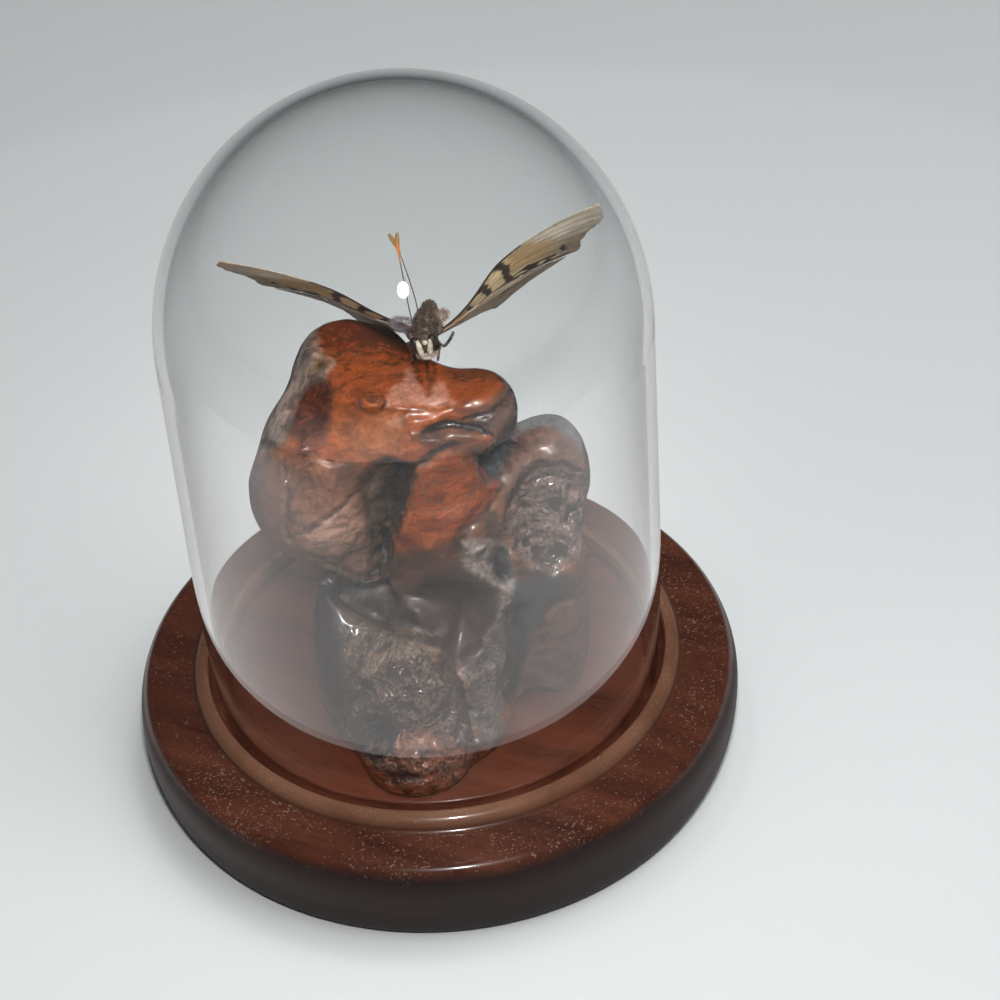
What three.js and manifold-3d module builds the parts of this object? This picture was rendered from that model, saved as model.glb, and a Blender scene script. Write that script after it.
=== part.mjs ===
// A butterfly on a varnished burl, under a glass dome on a turned wooden base.
// Millimetres, +Z up, +Y to the back. The origin is the middle of the base's underside.
// Left and right are as seen from the front.
import * as THREE from 'three';
import { mergeVertices } from 'three/addons/utils/BufferGeometryUtils.js';
import Module from 'manifold-3d';

// ---- driving dimensions ----
const baseRadius = 50;
const baseHeight = 16;          // underside to the flat rim of the top
const baseBulgeHeight = 10.5;   // where the rounded side is widest
const rimEdgeRadius = 47.5;     // outer edge of the flat rim
const beadFootRadius = 39.7;    // the raised bead around the glass
const beadCrestRadius = 38.5;
const beadHeight = 2.2;
const grooveRadius = 38.0;
const grooveDepth = 1.5;
const bossRadius = 34.8;        // raised middle that the burl stands on
const bossHeight = 1.2;

const glassRadius = 37.8;
const glassFootRadius = 37.0;
const glassWall = 1.6;
const glassSpring = 83;         // where the straight wall turns into the crown
const glassTop = 122.4;
const gap = 0.3;                // clearance between pieces that touch

const roundSides = 48;          // facets around the base and the dome

const bossTop = baseHeight + bossHeight;
const burlFoot = bossTop + gap;
const burlTop = 79;             // height of the sanded top face

const forewingSpan = 31;        // the wings' outlines are drawn for this span
const wingPitch = 40.5;         // degrees that a wing's chord falls towards the back
const wingThickness = 0.4;
const wingSagReach = 11;        // a wing's chord is bowed: how far back most of its sag is reached

// ---- colours and finishes ----
const finishes = {
  stainedWood: { color: 0x4a261c, roughness: 0.45, metalness: 0 },
  glass: { color: 0xdfe6e4, roughness: 0.03, metalness: 0, transparent: true, opacity: 0.25 },
  burlWood: { color: 0x8a4523, roughness: 0.25, metalness: 0 },
  insectBody: { color: 0x5a4a3e, roughness: 0.85, metalness: 0 },
  wingMembrane: { color: 0xa8977a, roughness: 0.7, metalness: 0 },
};

// ---- manifold helpers ----
const wasm = await Module();
wasm.setup();

function bareGeometry(geometry) {
  geometry.deleteAttribute('normal');
  geometry.deleteAttribute('uv');
  return mergeVertices(geometry, 1e-4);
}

function toSolid(geometry) {
  const bare = bareGeometry(geometry);
  const mesh = new wasm.Mesh({
    numProp: 3,
    vertProperties: new Float32Array(bare.attributes.position.array),
    triVerts: new Uint32Array(bare.index.array),
  });
  return new wasm.Manifold(mesh);
}

function toGeometry(solid) {
  const mesh = solid.getMesh();
  const geometry = new THREE.BufferGeometry();
  geometry.setAttribute('position', new THREE.BufferAttribute(new Float32Array(mesh.vertProperties), 3));
  geometry.setIndex(new THREE.BufferAttribute(new Uint32Array(mesh.triVerts), 1));
  return geometry;
}

function joined(solids) {
  return solids.reduce((whole, solid) => whole.add(solid));
}

function named(name, geometry, finish) {
  const mesh = new THREE.Mesh(geometry, new THREE.MeshStandardMaterial(finishes[finish]));
  mesh.name = name;
  return mesh;
}

// points of an ellipse's quarter, from one angle to another
function quarter(centreR, centreZ, halfR, halfZ, from, to, steps) {
  const points = [];
  for (let i = 0; i <= steps; i += 1) {
    const angle = THREE.MathUtils.degToRad(from + ((to - from) * i) / steps);
    points.push(new THREE.Vector2(centreR + halfR * Math.cos(angle), centreZ + halfZ * Math.sin(angle)));
  }
  return points;
}

function turned(points) {
  const geometry = new THREE.LatheGeometry(points, roundSides);
  geometry.rotateX(Math.PI / 2);
  return geometry;
}

// ---- base: one turned profile, from the axis below to the axis above ----
function makeBase() {
  const footRadius = 46.5;
  const lowerSide = quarter(footRadius, baseBulgeHeight, baseRadius - footRadius, baseBulgeHeight, -90, 0, 3);
  const upperSide = quarter(
    rimEdgeRadius, baseBulgeHeight, baseRadius - rimEdgeRadius, baseHeight - baseBulgeHeight, 0, 90, 4,
  );
  const bead = quarter(
    beadCrestRadius, baseHeight, beadFootRadius - beadCrestRadius, beadHeight, 0, 90, 2,
  );
  const profile = [
    new THREE.Vector2(0, 0),
    ...lowerSide,
    ...upperSide.slice(1),
    ...bead,
    new THREE.Vector2(grooveRadius, baseHeight + beadHeight - 0.3),
    new THREE.Vector2(grooveRadius, baseHeight - grooveDepth),
    new THREE.Vector2(bossRadius, baseHeight - grooveDepth),
    new THREE.Vector2(bossRadius, bossTop - 0.4),
    new THREE.Vector2(bossRadius - 0.4, bossTop),
    new THREE.Vector2(0, bossTop),
  ];
  return named('base', turned(profile), 'stainedWood');
}

// ---- glass dome: inner face from the crown down, round the foot, outer face up to the crown ----
function makeDome() {
  const foot = baseHeight - grooveDepth + gap;
  const innerRadius = glassRadius - glassWall;
  const flareTop = baseHeight + 22;
  const inner = quarter(0, glassSpring, innerRadius, glassTop - glassWall - glassSpring, 90, 0, 7);
  const outer = quarter(0, glassSpring, glassRadius, glassTop - glassSpring, 0, 90, 7);
  const profile = [
    ...inner,
    new THREE.Vector2(innerRadius, flareTop),
    new THREE.Vector2(glassFootRadius - glassWall, foot),
    new THREE.Vector2(glassFootRadius, foot),
    new THREE.Vector2(glassRadius, flareTop),
    ...outer,
  ];
  inner[0].x = 0;
  outer[outer.length - 1].x = 0;
  return named('glass_dome', turned(profile), 'glass');
}

// ---- burl: lumpy lobes grown together, with hollows worn into them ----
function lumps(x, y, z) {
  return (
    Math.sin(x * 3.1 + y * 2.3 + 0.6) * Math.cos(z * 2.7 - x * 1.9) +
    0.6 * Math.sin(y * 5.3 - z * 4.1 + 1.7) * Math.cos(x * 4.7 + 0.4)
  );
}

function lobe({ at, size, turn = [0, 0, 0], lump = 0.04, detail = 3 }) {
  const geometry = bareGeometry(new THREE.IcosahedronGeometry(1, detail));
  const spots = geometry.attributes.position;
  const spot = new THREE.Vector3();
  for (let i = 0; i < spots.count; i += 1) {
    spot.fromBufferAttribute(spots, i);
    spot.multiplyScalar(1 + lump * lumps(spot.x + at[0], spot.y + at[1], spot.z + at[2]));
    spots.setXYZ(i, spot.x, spot.y, spot.z);
  }
  geometry.scale(...size);
  const [tiltX, tiltY, tiltZ] = turn.map(THREE.MathUtils.degToRad);
  geometry.applyMatrix4(new THREE.Matrix4().makeRotationFromEuler(new THREE.Euler(tiltX, tiltY, tiltZ)));
  geometry.translate(...at);
  return toSolid(geometry);
}

const backedLobes = {
  trunk: { at: [1, 3, 46], size: [13, 11, 34], detail: 2 },
  head: { at: [-0.5, -2.5, 69], size: [16, 13.5, 13.5] },
  leftShoulder: { at: [-9.3, 2.6, 68.4], size: [9.9, 12.4, 13.2] },
  leftLobe: { at: [-15.5, -6.5, 58.4], size: [11, 10.5, 12.2], turn: [0, -14, 0] },
  column: { at: [3.5, -5, 52], size: [10.5, 11, 23] },
  lowColumn: { at: [2.5, -7, 33], size: [9, 10, 17], detail: 2 },
  leftTrunk: { at: [-13.2, -14, 28.4], size: [5.4, 7.5, 18], turn: [-20, -5, 0], detail: 2 },
  knob: { at: [-4.6, -16.8, 27.5], size: [11.2, 11, 12], turn: [10, 0, 0] },
  tongue: { at: [-3.8, -24.3, 19.5], size: [9.2, 9.8, 7], turn: [20, 0, 0], detail: 2 },
  backFoot: { at: [-1, 11, 25], size: [11, 9, 16], detail: 2 },
  backLobe: { at: [3, 9, 56], size: [12, 8.5, 12], detail: 2 },
};

const sideLobes = {
  rightKnuckle: { at: [9.8, -8.8, 72.5], size: [6.8, 6.4, 8], turn: [0, 0, -12], detail: 2 },
  rightLobe: { at: [18.6, -3, 53.4], size: [8, 9.5, 12], turn: [0, 20, 0] },
  rightBridge: { at: [13, -4, 48], size: [8, 8, 13], detail: 2 },
  rightPillar: { at: [19.6, -7.5, 36], size: [5.9, 7.5, 27], detail: 2 },
  eyeBoss: { at: [9.6, -11.5, 47], size: [3.8, 4, 5], detail: 2 },
  middleRidge: { at: [10.2, -14.5, 31], size: [3, 5, 15], turn: [-17, 8, 0], detail: 2 },
  rightToe: { at: [6, -18.5, 19], size: [6, 9, 5], turn: [12, 0, -20], detail: 2 },
};

const burlHollows = {
  rightCup: { at: [19.2, -14, 51], size: [4.4, 6.5, 9], turn: [0, 6, 0], detail: 2 },
  cleft: { at: [-5.4, -17, 54], size: [2.3, 8, 13], turn: [0, 4, 0], detail: 2 },
  slit: { at: [8.5, -18, 74.5], size: [7, 5, 0.8], turn: [0, -4, 8], detail: 1 },
};

// the head's back falls away on a slant behind this ridge
const ridge = { at: [4, -2.6, burlTop], slope: 62, turn: -44 };

function lobesOf(set) {
  return joined(Object.values(set).map(lobe));
}

function backSlant() {
  const big = 120;
  const geometry = new THREE.BoxGeometry(big, big, big);
  geometry.translate(0, 0, big / 2);
  geometry.rotateX(THREE.MathUtils.degToRad(-ridge.slope));
  geometry.rotateZ(THREE.MathUtils.degToRad(ridge.turn));
  geometry.translate(...ridge.at);
  return toSolid(geometry);
}

// everything above the sanded top, or below the flat foot
function slab(z, side) {
  const big = 120;
  const geometry = new THREE.BoxGeometry(big, big, big);
  geometry.translate(0, 0, z + (side * big) / 2);
  return toSolid(geometry);
}

function makeBurl() {
  const burl = lobesOf(backedLobes)
    .subtract(backSlant())
    .add(lobesOf(sideLobes))
    .subtract(lobesOf(burlHollows))
    .subtract(slab(burlTop, 1))
    .subtract(slab(burlFoot, -1));
  return named('burl', toGeometry(burl), 'burlWood');
}

// ---- wings ----
// A wing is a thin plate: s runs out along it, c runs back across it, both from its root.
// The hindwing lies under the forewing's trailing edge and rises from it towards the back.
const wingSets = {
  left: { root: [0.8, 1, 81.1], tip: [-27.4, 7.5, 92.9], arch: 1.9, archPeak: 1.0, sag: 1.8, hindLift: 0.1 },
  right: { root: [5.6, 1, 84.1], tip: [30.8, 8.5, 97.4], arch: 1.7, archPeak: 1.27, sag: 5.4, hindLift: 0.3 },
};

const forewingOutline = {
  rootLine: [[0, 0.2], [0, 2.4]],
  outerMargin: [
    [31.0, 0], [31.2, 3.5], [30.0, 5.9], [27.0, 7.8], [25.2, 11.2], [24.9, 14.0], [24.1, 16.4],
  ],
  frontBulge: -1.2,
  backBulge: -2.8,
};

const hindwingOutline = {
  rootLine: [[0.4, 1.7], [0.6, 4.8]],
  outerMargin: [
    [20.8, 13.4], [22.0, 15.2], [20.2, 17.2], [20.3, 19.4], [17.2, 20.8], [16.8, 23.6], [13.6, 23.0],
    [11.0, 25.0], [7.0, 23.8],
  ],
  frontBulge: -2.4,
  backBulge: -2.4,
};

const hindwingLower = wingThickness + gap;
const foldSlope = (hindwingOutline.outerMargin[0][1] - hindwingOutline.rootLine[0][1]) /
  hindwingOutline.outerMargin[0][0];

function alongPolyline(points, t) {
  const place = t * (points.length - 1);
  const i = Math.min(Math.floor(place), points.length - 2);
  const f = place - i;
  return [0, 1].map((k) => points[i][k] * (1 - f) + points[i + 1][k] * f);
}

function outlinePoint(outline, u, v) {
  const inner = alongPolyline(outline.rootLine, v);
  const outer = alongPolyline(outline.outerMargin, v);
  const bulge = Math.sin(Math.PI * u) * (outline.frontBulge * (1 - v) + outline.backBulge * v);
  return [inner[0] * (1 - u) + outer[0] * u, inner[1] * (1 - u) + outer[1] * u + bulge];
}

function wingFrame({ root, tip }) {
  const pitch = THREE.MathUtils.degToRad(wingPitch);
  const origin = new THREE.Vector3(...root);
  const out = new THREE.Vector3(...tip).sub(origin);
  const span = out.length();
  out.normalize();
  const back = new THREE.Vector3(0, Math.cos(pitch), -Math.sin(pitch));
  back.addScaledVector(out, -back.dot(out)).normalize();
  const up = new THREE.Vector3().crossVectors(out, back);
  if (up.z < 0) {
    up.negate();
  }
  return { origin, span, out, back, up };
}

function wing(side, outline, { lower, lift, columns, rows }) {
  const set = wingSets[side];
  const frame = wingFrame(set);
  const geometry = bareGeometry(new THREE.BoxGeometry(1, 1, 1, columns, rows, 1));
  const spots = geometry.attributes.position;
  const mirrored = side === 'left';
  for (let i = 0; i < spots.count; i += 1) {
    const u = spots.getX(i) + 0.5;
    const v = spots.getY(i) + 0.5;
    const [s, c] = outlinePoint(outline, mirrored ? 1 - u : u, v);
    const rise = set.arch * Math.sin(Math.PI * Math.min(s / forewingSpan, 1) ** set.archPeak);
    const drop = set.sag * (1 - Math.exp(-Math.max(c, 0) / wingSagReach));
    const lifted = lift * Math.max(c - hindwingOutline.rootLine[0][1] - foldSlope * s, 0);
    const height = rise - drop - lower + lifted + spots.getZ(i) * wingThickness;
    const spot = frame.origin.clone()
      .addScaledVector(frame.out, (s * frame.span) / forewingSpan)
      .addScaledVector(frame.back, c)
      .addScaledVector(frame.up, height);
    spots.setXYZ(i, spot.x, spot.y, spot.z);
  }
  return geometry;
}

function makeWings(side) {
  const lift = wingSets[side].hindLift;
  const fore = wing(side, forewingOutline, { lower: 0, lift: 0, columns: 9, rows: 6 });
  const hind = wing(side, hindwingOutline, { lower: hindwingLower, lift, columns: 6, rows: 8 });
  return [named(`forewing_${side}`, fore, 'wingMembrane'), named(`hindwing_${side}`, hind, 'wingMembrane')];
}

// ---- the insect's body ----
const bodyParts = {
  head: { at: [3.2, -3.7, 82.4], size: [1.5, 1.5, 1.7], lump: 0, detail: 1 },
  eyeLeft: { at: [1.5, -4.1, 82.3], size: [0.95, 1.1, 1.5], lump: 0, detail: 1 },
  eyeRight: { at: [4.8, -4.1, 82.6], size: [0.95, 1.1, 1.5], lump: 0, detail: 1 },
  palpLeft: { at: [2.7, -5.2, 81.6], size: [0.45, 0.9, 1.3], turn: [-35, 8, 0], lump: 0, detail: 1 },
  palpRight: { at: [3.8, -5.2, 81.7], size: [0.45, 0.9, 1.3], turn: [-35, -6, 0], lump: 0, detail: 1 },
  thorax: { at: [3.4, 0.4, 82.8], size: [2.0, 3.8, 2.7], turn: [-12, 0, 0], lump: 0.02, detail: 2 },
  abdomen: { at: [3.8, 6.4, 80.5], size: [1.5, 6.4, 1.7], turn: [-20, 0, 0], lump: 0.02, detail: 2 },
};

// each leg: hip, knee and foot
const legs = {
  midRight: [[4.4, -1.2, 80.9], [5.6, -3.2, 81.3], [4.9, -4.0, burlTop + 0.55]],
  midLeft: [[2.2, -0.8, 80.9], [0.3, -1.4, 81.4], [0.6, -0.6, burlTop + 0.55]],
  strayRight: [[4.6, -0.8, 81.2], [5.9, -2.6, 81.6], [7.4, -3.0, 83.9]],
};

function tube(points, radius, sides, steps) {
  const outline = new THREE.Shape();
  for (let i = 0; i < sides; i += 1) {
    const angle = (i / sides) * Math.PI * 2;
    const place = [radius * Math.cos(angle), radius * Math.sin(angle)];
    if (i === 0) {
      outline.moveTo(...place);
    } else {
      outline.lineTo(...place);
    }
  }
  const path = new THREE.CatmullRomCurve3(points.map((point) => new THREE.Vector3(...point)));
  return toSolid(new THREE.ExtrudeGeometry(outline, { extrudePath: path, steps, bevelEnabled: false }));
}

function makeBody() {
  const legRadius = 0.25;
  const parts = Object.values(bodyParts).map(lobe);
  const limbs = Object.values(legs).map((points) => tube(points, legRadius, 5, 5));
  return named('butterfly_body', toGeometry(joined([...parts, ...limbs])), 'insectBody');
}

const antennae = {
  left: [[1.7, -4.6, 84.9], [1.1, -4.0, 90.3], [0.8, -3.2, 93.8], [0.4, -2.2, 97.6], [0.3, -1.2, 100.1], [0.5, -0.8, 101.1]],
  right: [[2.5, -4.4, 84.7], [2.4, -3.2, 88.1], [2.0, -2.3, 91.0], [1.1, -1.5, 95.1], [0.3, -0.8, 98.1], [-0.9, -0.2, 100.4]],
};

// a thin shaft that ends in a small club, in line with its last stretch
function makeAntenna(side) {
  const points = antennae[side].map((point) => new THREE.Vector3(...point));
  const end = points[points.length - 1];
  const heading = end.clone().sub(points[points.length - 2]).normalize();
  const lean = new THREE.Quaternion().setFromUnitVectors(new THREE.Vector3(0, 0, 1), heading);
  const club = bareGeometry(new THREE.IcosahedronGeometry(1, 1));
  club.scale(0.4, 0.4, 1.2);
  club.applyQuaternion(lean);
  club.translate(...end.toArray());
  const shaft = tube(antennae[side], 0.17, 5, 8);
  return named(`antenna_${side}`, toGeometry(shaft.add(toSolid(club))), 'insectBody');
}

const model = new THREE.Group();
model.add(
  makeBase(), makeDome(), makeBurl(), makeBody(),
  ...makeWings('left'), ...makeWings('right'),
  makeAntenna('left'), makeAntenna('right'),
);

export default model;
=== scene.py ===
import math
import random

import bmesh
import bpy
import numpy as np
from mathutils import Euler, Matrix, Vector, noise


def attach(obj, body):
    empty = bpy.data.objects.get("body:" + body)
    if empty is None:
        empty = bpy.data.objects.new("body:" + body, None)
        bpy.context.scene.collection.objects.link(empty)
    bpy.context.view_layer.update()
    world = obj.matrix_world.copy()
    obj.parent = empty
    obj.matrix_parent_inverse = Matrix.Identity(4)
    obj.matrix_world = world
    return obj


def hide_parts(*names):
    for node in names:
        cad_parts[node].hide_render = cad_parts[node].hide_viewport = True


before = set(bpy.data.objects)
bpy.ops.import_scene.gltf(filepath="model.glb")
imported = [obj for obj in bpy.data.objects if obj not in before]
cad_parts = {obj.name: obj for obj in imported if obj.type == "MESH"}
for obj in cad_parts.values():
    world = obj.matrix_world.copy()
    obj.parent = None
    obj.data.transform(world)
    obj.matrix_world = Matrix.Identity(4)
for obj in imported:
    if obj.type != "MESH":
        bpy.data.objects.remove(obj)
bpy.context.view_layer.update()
random.seed(7)
mm = 0.001  # pieces are modelled in millimetres and brought to metres when they are finished


# ---- camera ----
cameraSetup = {
    "aim": (0.01244, 0.0, 0.04794),
    "distance": 0.4348,
    "elevation": 40.04,
    "roll": 4.38,
    "lens": 98.26,
    "sensor": 36.0,
}


def makeCamera(setup):
    camera = bpy.data.objects.new("camera", bpy.data.cameras.new("camera"))
    bpy.context.scene.collection.objects.link(camera)
    camera.data.lens = setup["lens"]
    camera.data.sensor_width = setup["sensor"]
    camera.data.clip_start = 0.01
    tilt = Matrix.Rotation(math.radians(90 - setup["elevation"]), 4, "X")
    roll = Matrix.Rotation(math.radians(-setup["roll"]), 4, "Z")
    back = Matrix.Translation((0, 0, setup["distance"]))
    camera.matrix_world = Matrix.Translation(setup["aim"]) @ tilt @ back @ roll
    bpy.context.scene.camera = camera


makeCamera(cameraSetup)


# ---- mesh helpers ----
def newPiece(name, bm):
    mesh = bpy.data.meshes.new(name)
    bm.to_mesh(mesh)
    bm.free()
    piece = bpy.data.objects.new(name, mesh)
    bpy.context.scene.collection.objects.link(piece)
    return piece


def settle(piece):  # applies every modifier to the mesh
    seen = bpy.context.evaluated_depsgraph_get()
    mesh = bpy.data.meshes.new_from_object(piece.evaluated_get(seen))
    old = piece.data
    piece.modifiers.clear()
    piece.data = mesh
    bpy.data.meshes.remove(old)
    mesh.name = piece.name


def finishPiece(piece, node, materials):  # to metres, dressed, riding, standing for its node
    piece.data.transform(Matrix.Scale(mm, 4))
    piece.data.polygons.foreach_set("use_smooth", [True] * len(piece.data.polygons))
    for material in materials:
        piece.data.materials.append(material)
    piece.data.update()
    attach(piece, "root")
    if node:
        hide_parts(node)
    print(piece.name, len(piece.data.polygons), "faces")


def placed(at, size, turn):
    angles = [math.radians(angle) for angle in turn]
    return Matrix.Translation(at) @ Euler(angles, "ZYX").to_matrix().to_4x4() @ Matrix.Diagonal((*size, 1))


def addLobe(bm, at, size, turn=(0, 0, 0)):
    made = bmesh.ops.create_icosphere(bm, subdivisions=4, radius=1)
    bmesh.ops.transform(bm, matrix=placed(at, size, turn), verts=made["verts"])


def arcPoints(centre, half, start, end, steps):  # points of an ellipse's arc, as (radius, height)
    angles = [math.radians(start + (end - start) * i / steps) for i in range(steps + 1)]
    return [(centre[0] + half[0] * math.cos(a), centre[1] + half[1] * math.sin(a)) for a in angles]


def spun(name, profile, steps):  # a closed turned solid from (radius, height) points
    bm = bmesh.new()
    verts = [bm.verts.new((r, 0, z)) for r, z in profile]
    edges = [bm.edges.new(pair) for pair in zip(verts, verts[1:])]
    bmesh.ops.spin(
        bm, geom=verts + edges, cent=(0, 0, 0), axis=(0, 0, 1), angle=math.tau, steps=steps, use_merge=True,
    )
    bmesh.ops.remove_doubles(bm, verts=bm.verts, dist=1e-4)
    bmesh.ops.recalc_face_normals(bm, faces=bm.faces)
    return newPiece(name, bm)


def vertexArray(mesh, key="co"):
    values = np.empty(len(mesh.vertices) * 3)
    mesh.vertices.foreach_get(key, values)
    return values.reshape(-1, 3)


def setVertices(mesh, places):
    mesh.vertices.foreach_set("co", np.ascontiguousarray(places, dtype=np.float64).ravel())
    mesh.update()


def setMask(mesh, name, values):  # one number per vertex, read by the materials
    attribute = mesh.attributes.new(name, "FLOAT", "POINT")
    attribute.data.foreach_set("value", np.ascontiguousarray(values, dtype=np.float32))


def setTint(mesh, colour):  # the painted colour of each vertex
    attribute = mesh.attributes.new("tint", "FLOAT_COLOR", "POINT")
    full = np.concatenate([colour, np.ones((len(colour), 1))], axis=1)
    attribute.data.foreach_set("color", np.ascontiguousarray(full, dtype=np.float32).ravel())


def smoothStep(values, low, high):
    t = np.clip((values - low) / (high - low), 0, 1)
    return t * t * (3 - 2 * t)


def fractalAt(places, size, octaves=3, stretch=(1, 1, 1), shift=0.0):  # from about -1 to 1 at each place
    scaled = places / (np.array(stretch) * size) + shift
    return np.array([noise.fractal(Vector(p), 1.0, 2.1, octaves) for p in scaled])


# ---- shader helpers ----
def feed(tree, socket, value):  # a link from another node, or a plain value
    if isinstance(value, bpy.types.NodeSocket):
        tree.links.new(value, socket)
    else:
        socket.default_value = value


def addNode(tree, kind, inputs=None, **settings):
    node = tree.nodes.new(kind)
    for key, value in settings.items():
        setattr(node, key, value)
    for key, value in (inputs or {}).items():
        feed(tree, node.inputs[key], value)
    return node


def maths(tree, operation, *values):
    return addNode(tree, "ShaderNodeMath", dict(enumerate(values)), operation=operation).outputs[0]


def times(tree, first, second):
    return maths(tree, "MULTIPLY", first, second)


def plus(tree, first, second):
    return maths(tree, "ADD", first, second)


def minus(tree, first, second):
    return maths(tree, "SUBTRACT", first, second)


def vectorMaths(tree, operation, inputs):
    return addNode(tree, "ShaderNodeVectorMath", inputs, operation=operation).outputs


def pushed(tree, vector, push, reach):  # a vector moved a little way along another one
    shift = vectorMaths(tree, "SCALE", {0: push, 3: reach})[0]
    return vectorMaths(tree, "ADD", {0: vector, 1: shift})[0]


def split(tree, vector):
    return addNode(tree, "ShaderNodeSeparateXYZ", {0: vector}).outputs


def joined(tree, x, y, z):
    return addNode(tree, "ShaderNodeCombineXYZ", {0: x, 1: y, 2: z}).outputs[0]


def greyOf(tree, level):
    return addNode(tree, "ShaderNodeCombineColor", {0: level, 1: level, 2: level}).outputs[0]


def facingUp(tree):  # the upward part of the surface's heading
    return split(tree, addNode(tree, "ShaderNodeNewGeometry").outputs["Normal"])[2]


def mixed(tree, factor, first, second, blend="MIX"):
    inputs = {0: factor, 6: first, 7: second}
    return addNode(tree, "ShaderNodeMix", inputs, data_type="RGBA", blend_type=blend).outputs[2]


def span(tree, value, low, high, toLow=0.0, toHigh=1.0):
    inputs = {"Value": value, "From Min": low, "From Max": high, "To Min": toLow, "To Max": toHigh}
    return addNode(tree, "ShaderNodeMapRange", inputs, interpolation_type="SMOOTHSTEP").outputs["Result"]


def ramp(tree, value, stops):
    node = addNode(tree, "ShaderNodeValToRGB", {"Fac": value})
    band = node.color_ramp
    while len(band.elements) < len(stops):
        band.elements.new(0.5)
    for element, (place, colour) in zip(band.elements, stops):
        element.position = place
        element.color = (*colour, 1)
    return node.outputs["Color"]


def mapped(tree, vector, scale=(1, 1, 1), turn=0):
    inputs = {"Vector": vector, "Scale": scale, "Rotation": (0, 0, math.radians(turn))}
    return addNode(tree, "ShaderNodeMapping", inputs).outputs["Vector"]


def noiseAt(tree, vector, scale, detail=4.0, roughness=0.55):
    inputs = {"Vector": vector, "Scale": scale, "Detail": detail, "Roughness": roughness}
    return addNode(tree, "ShaderNodeTexNoise", inputs).outputs["Fac"]


def objectPlace(tree):
    return addNode(tree, "ShaderNodeTexCoord").outputs["Object"]


def mask(tree, name):
    return addNode(tree, "ShaderNodeAttribute", attribute_name=name).outputs["Fac"]


def painted(tree):  # the colour that is painted on the vertices
    return addNode(tree, "ShaderNodeAttribute", attribute_name="tint").outputs["Color"]


def newMaterial(name):
    material = bpy.data.materials.new(name)
    material.use_nodes = True
    tree = material.node_tree
    return material, tree, tree.nodes["Principled BSDF"]


def dress(tree, shader, **values):  # keys are socket names with the spaces taken out
    for key, value in values.items():
        feed(tree, next(s for s in shader.inputs if s.name.replace(" ", "") == key), value)


def bumped(tree, height, strength, distance):
    inputs = {"Height": height, "Strength": strength, "Distance": distance}
    return addNode(tree, "ShaderNodeBump", inputs).outputs["Normal"]


def newGroup(name, inputs, outputs):  # inputs that have a value are numbers, the others vectors
    group = bpy.data.node_groups.new(name, "ShaderNodeTree")
    for label, value in inputs.items():
        kind = "NodeSocketVector" if value is None else "NodeSocketFloat"
        socket = group.interface.new_socket(label, in_out="INPUT", socket_type=kind)
        if value is not None:
            socket.default_value = value
    for label in outputs:
        group.interface.new_socket(label, in_out="OUTPUT", socket_type="NodeSocketFloat")
    given = group.nodes.new("NodeGroupInput").outputs
    return group, given, group.nodes.new("NodeGroupOutput").inputs


def groupNode(tree, group, inputs):
    return addNode(tree, "ShaderNodeGroup", inputs, node_tree=group).outputs


# ---- shared effects ----
def makeGrainGroup():  # streaks that run along one axis, with finer pores in them
    inputs = {"Vector": None, "Scale": 120.0, "Stretch": 12.0, "Waviness": 0.4}
    group, given, result = newGroup("woodGrain", inputs, ("Grain", "Pores"))
    sway = noiseAt(group, given["Vector"], 35.0, 2.0)
    swayed = times(group, sway, times(group, given["Waviness"], 0.02))
    parts = split(group, vectorMaths(group, "ADD", {0: given["Vector"], 1: swayed})[0])
    along = maths(group, "DIVIDE", parts[0], given["Stretch"])
    drawn = joined(group, along, parts[1], parts[2])
    coarse = noiseAt(group, drawn, given["Scale"], 6.0, 0.62)
    fine = noiseAt(group, drawn, times(group, given["Scale"], 6.0), 2.0, 0.5)
    group.links.new(coarse, result["Grain"])
    group.links.new(span(group, fine, 0.56, 0.70), result["Pores"])
    return group


def makeDustGroup():  # specks and a thin film of dust, only on what faces up
    group, given, result = newGroup("dust", {"Vector": None, "Scale": 2200.0, "Amount": 0.3}, ("Dust",))
    specks = noiseAt(group, given["Vector"], given["Scale"], 1.0, 0.4)
    drifts = noiseAt(group, given["Vector"], 90.0, 3.0)
    edge = minus(group, 0.80, times(group, given["Amount"], drifts))
    settings = {"Value": specks, "From Min": edge, "From Max": plus(group, edge, 0.08)}
    found = addNode(group, "ShaderNodeMapRange", settings).outputs["Result"]
    group.links.new(times(group, found, span(group, facingUp(group), 0.2, 0.8)), result["Dust"])
    return group


def makeFibreGroup():  # fine lines that lie across one heading
    inputs = {"Vector": None, "Across": None, "Fineness": 1200.0, "Length": 100.0}
    group, given, result = newGroup("fibreLines", inputs, ("Lines",))
    across = vectorMaths(group, "DOT_PRODUCT", {0: given["Vector"], 1: given["Across"]})["Value"]
    high = times(group, across, given["Fineness"])
    low = split(group, vectorMaths(group, "SCALE", {0: given["Vector"], 3: given["Length"]})[0])
    drawn = joined(group, high, low[0], plus(group, low[1], low[2]))
    group.links.new(noiseAt(group, drawn, 1.0, 5.0, 0.6), result["Lines"])
    return group


grainGroup = makeGrainGroup()
fibreGroup = makeFibreGroup()
dustGroup = makeDustGroup()


# ---- base ----
baseForm = {
    "radius": 50.0,
    "height": 16.0,
    "bulgeHeight": 10.5,
    "footRadius": 46.5,
    "rimEdge": 47.5,
    "beadFoot": 40.6,
    "beadCrest": 38.5,
    "beadHeight": 2.2,
    "beadRounding": 0.4,
    "groove": 38.0,
    "grooveDepth": 1.5,
    "boss": 34.8,
    "bossHeight": 1.2,
    "bossRounding": 0.5,
    "steps": 180,
}

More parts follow.
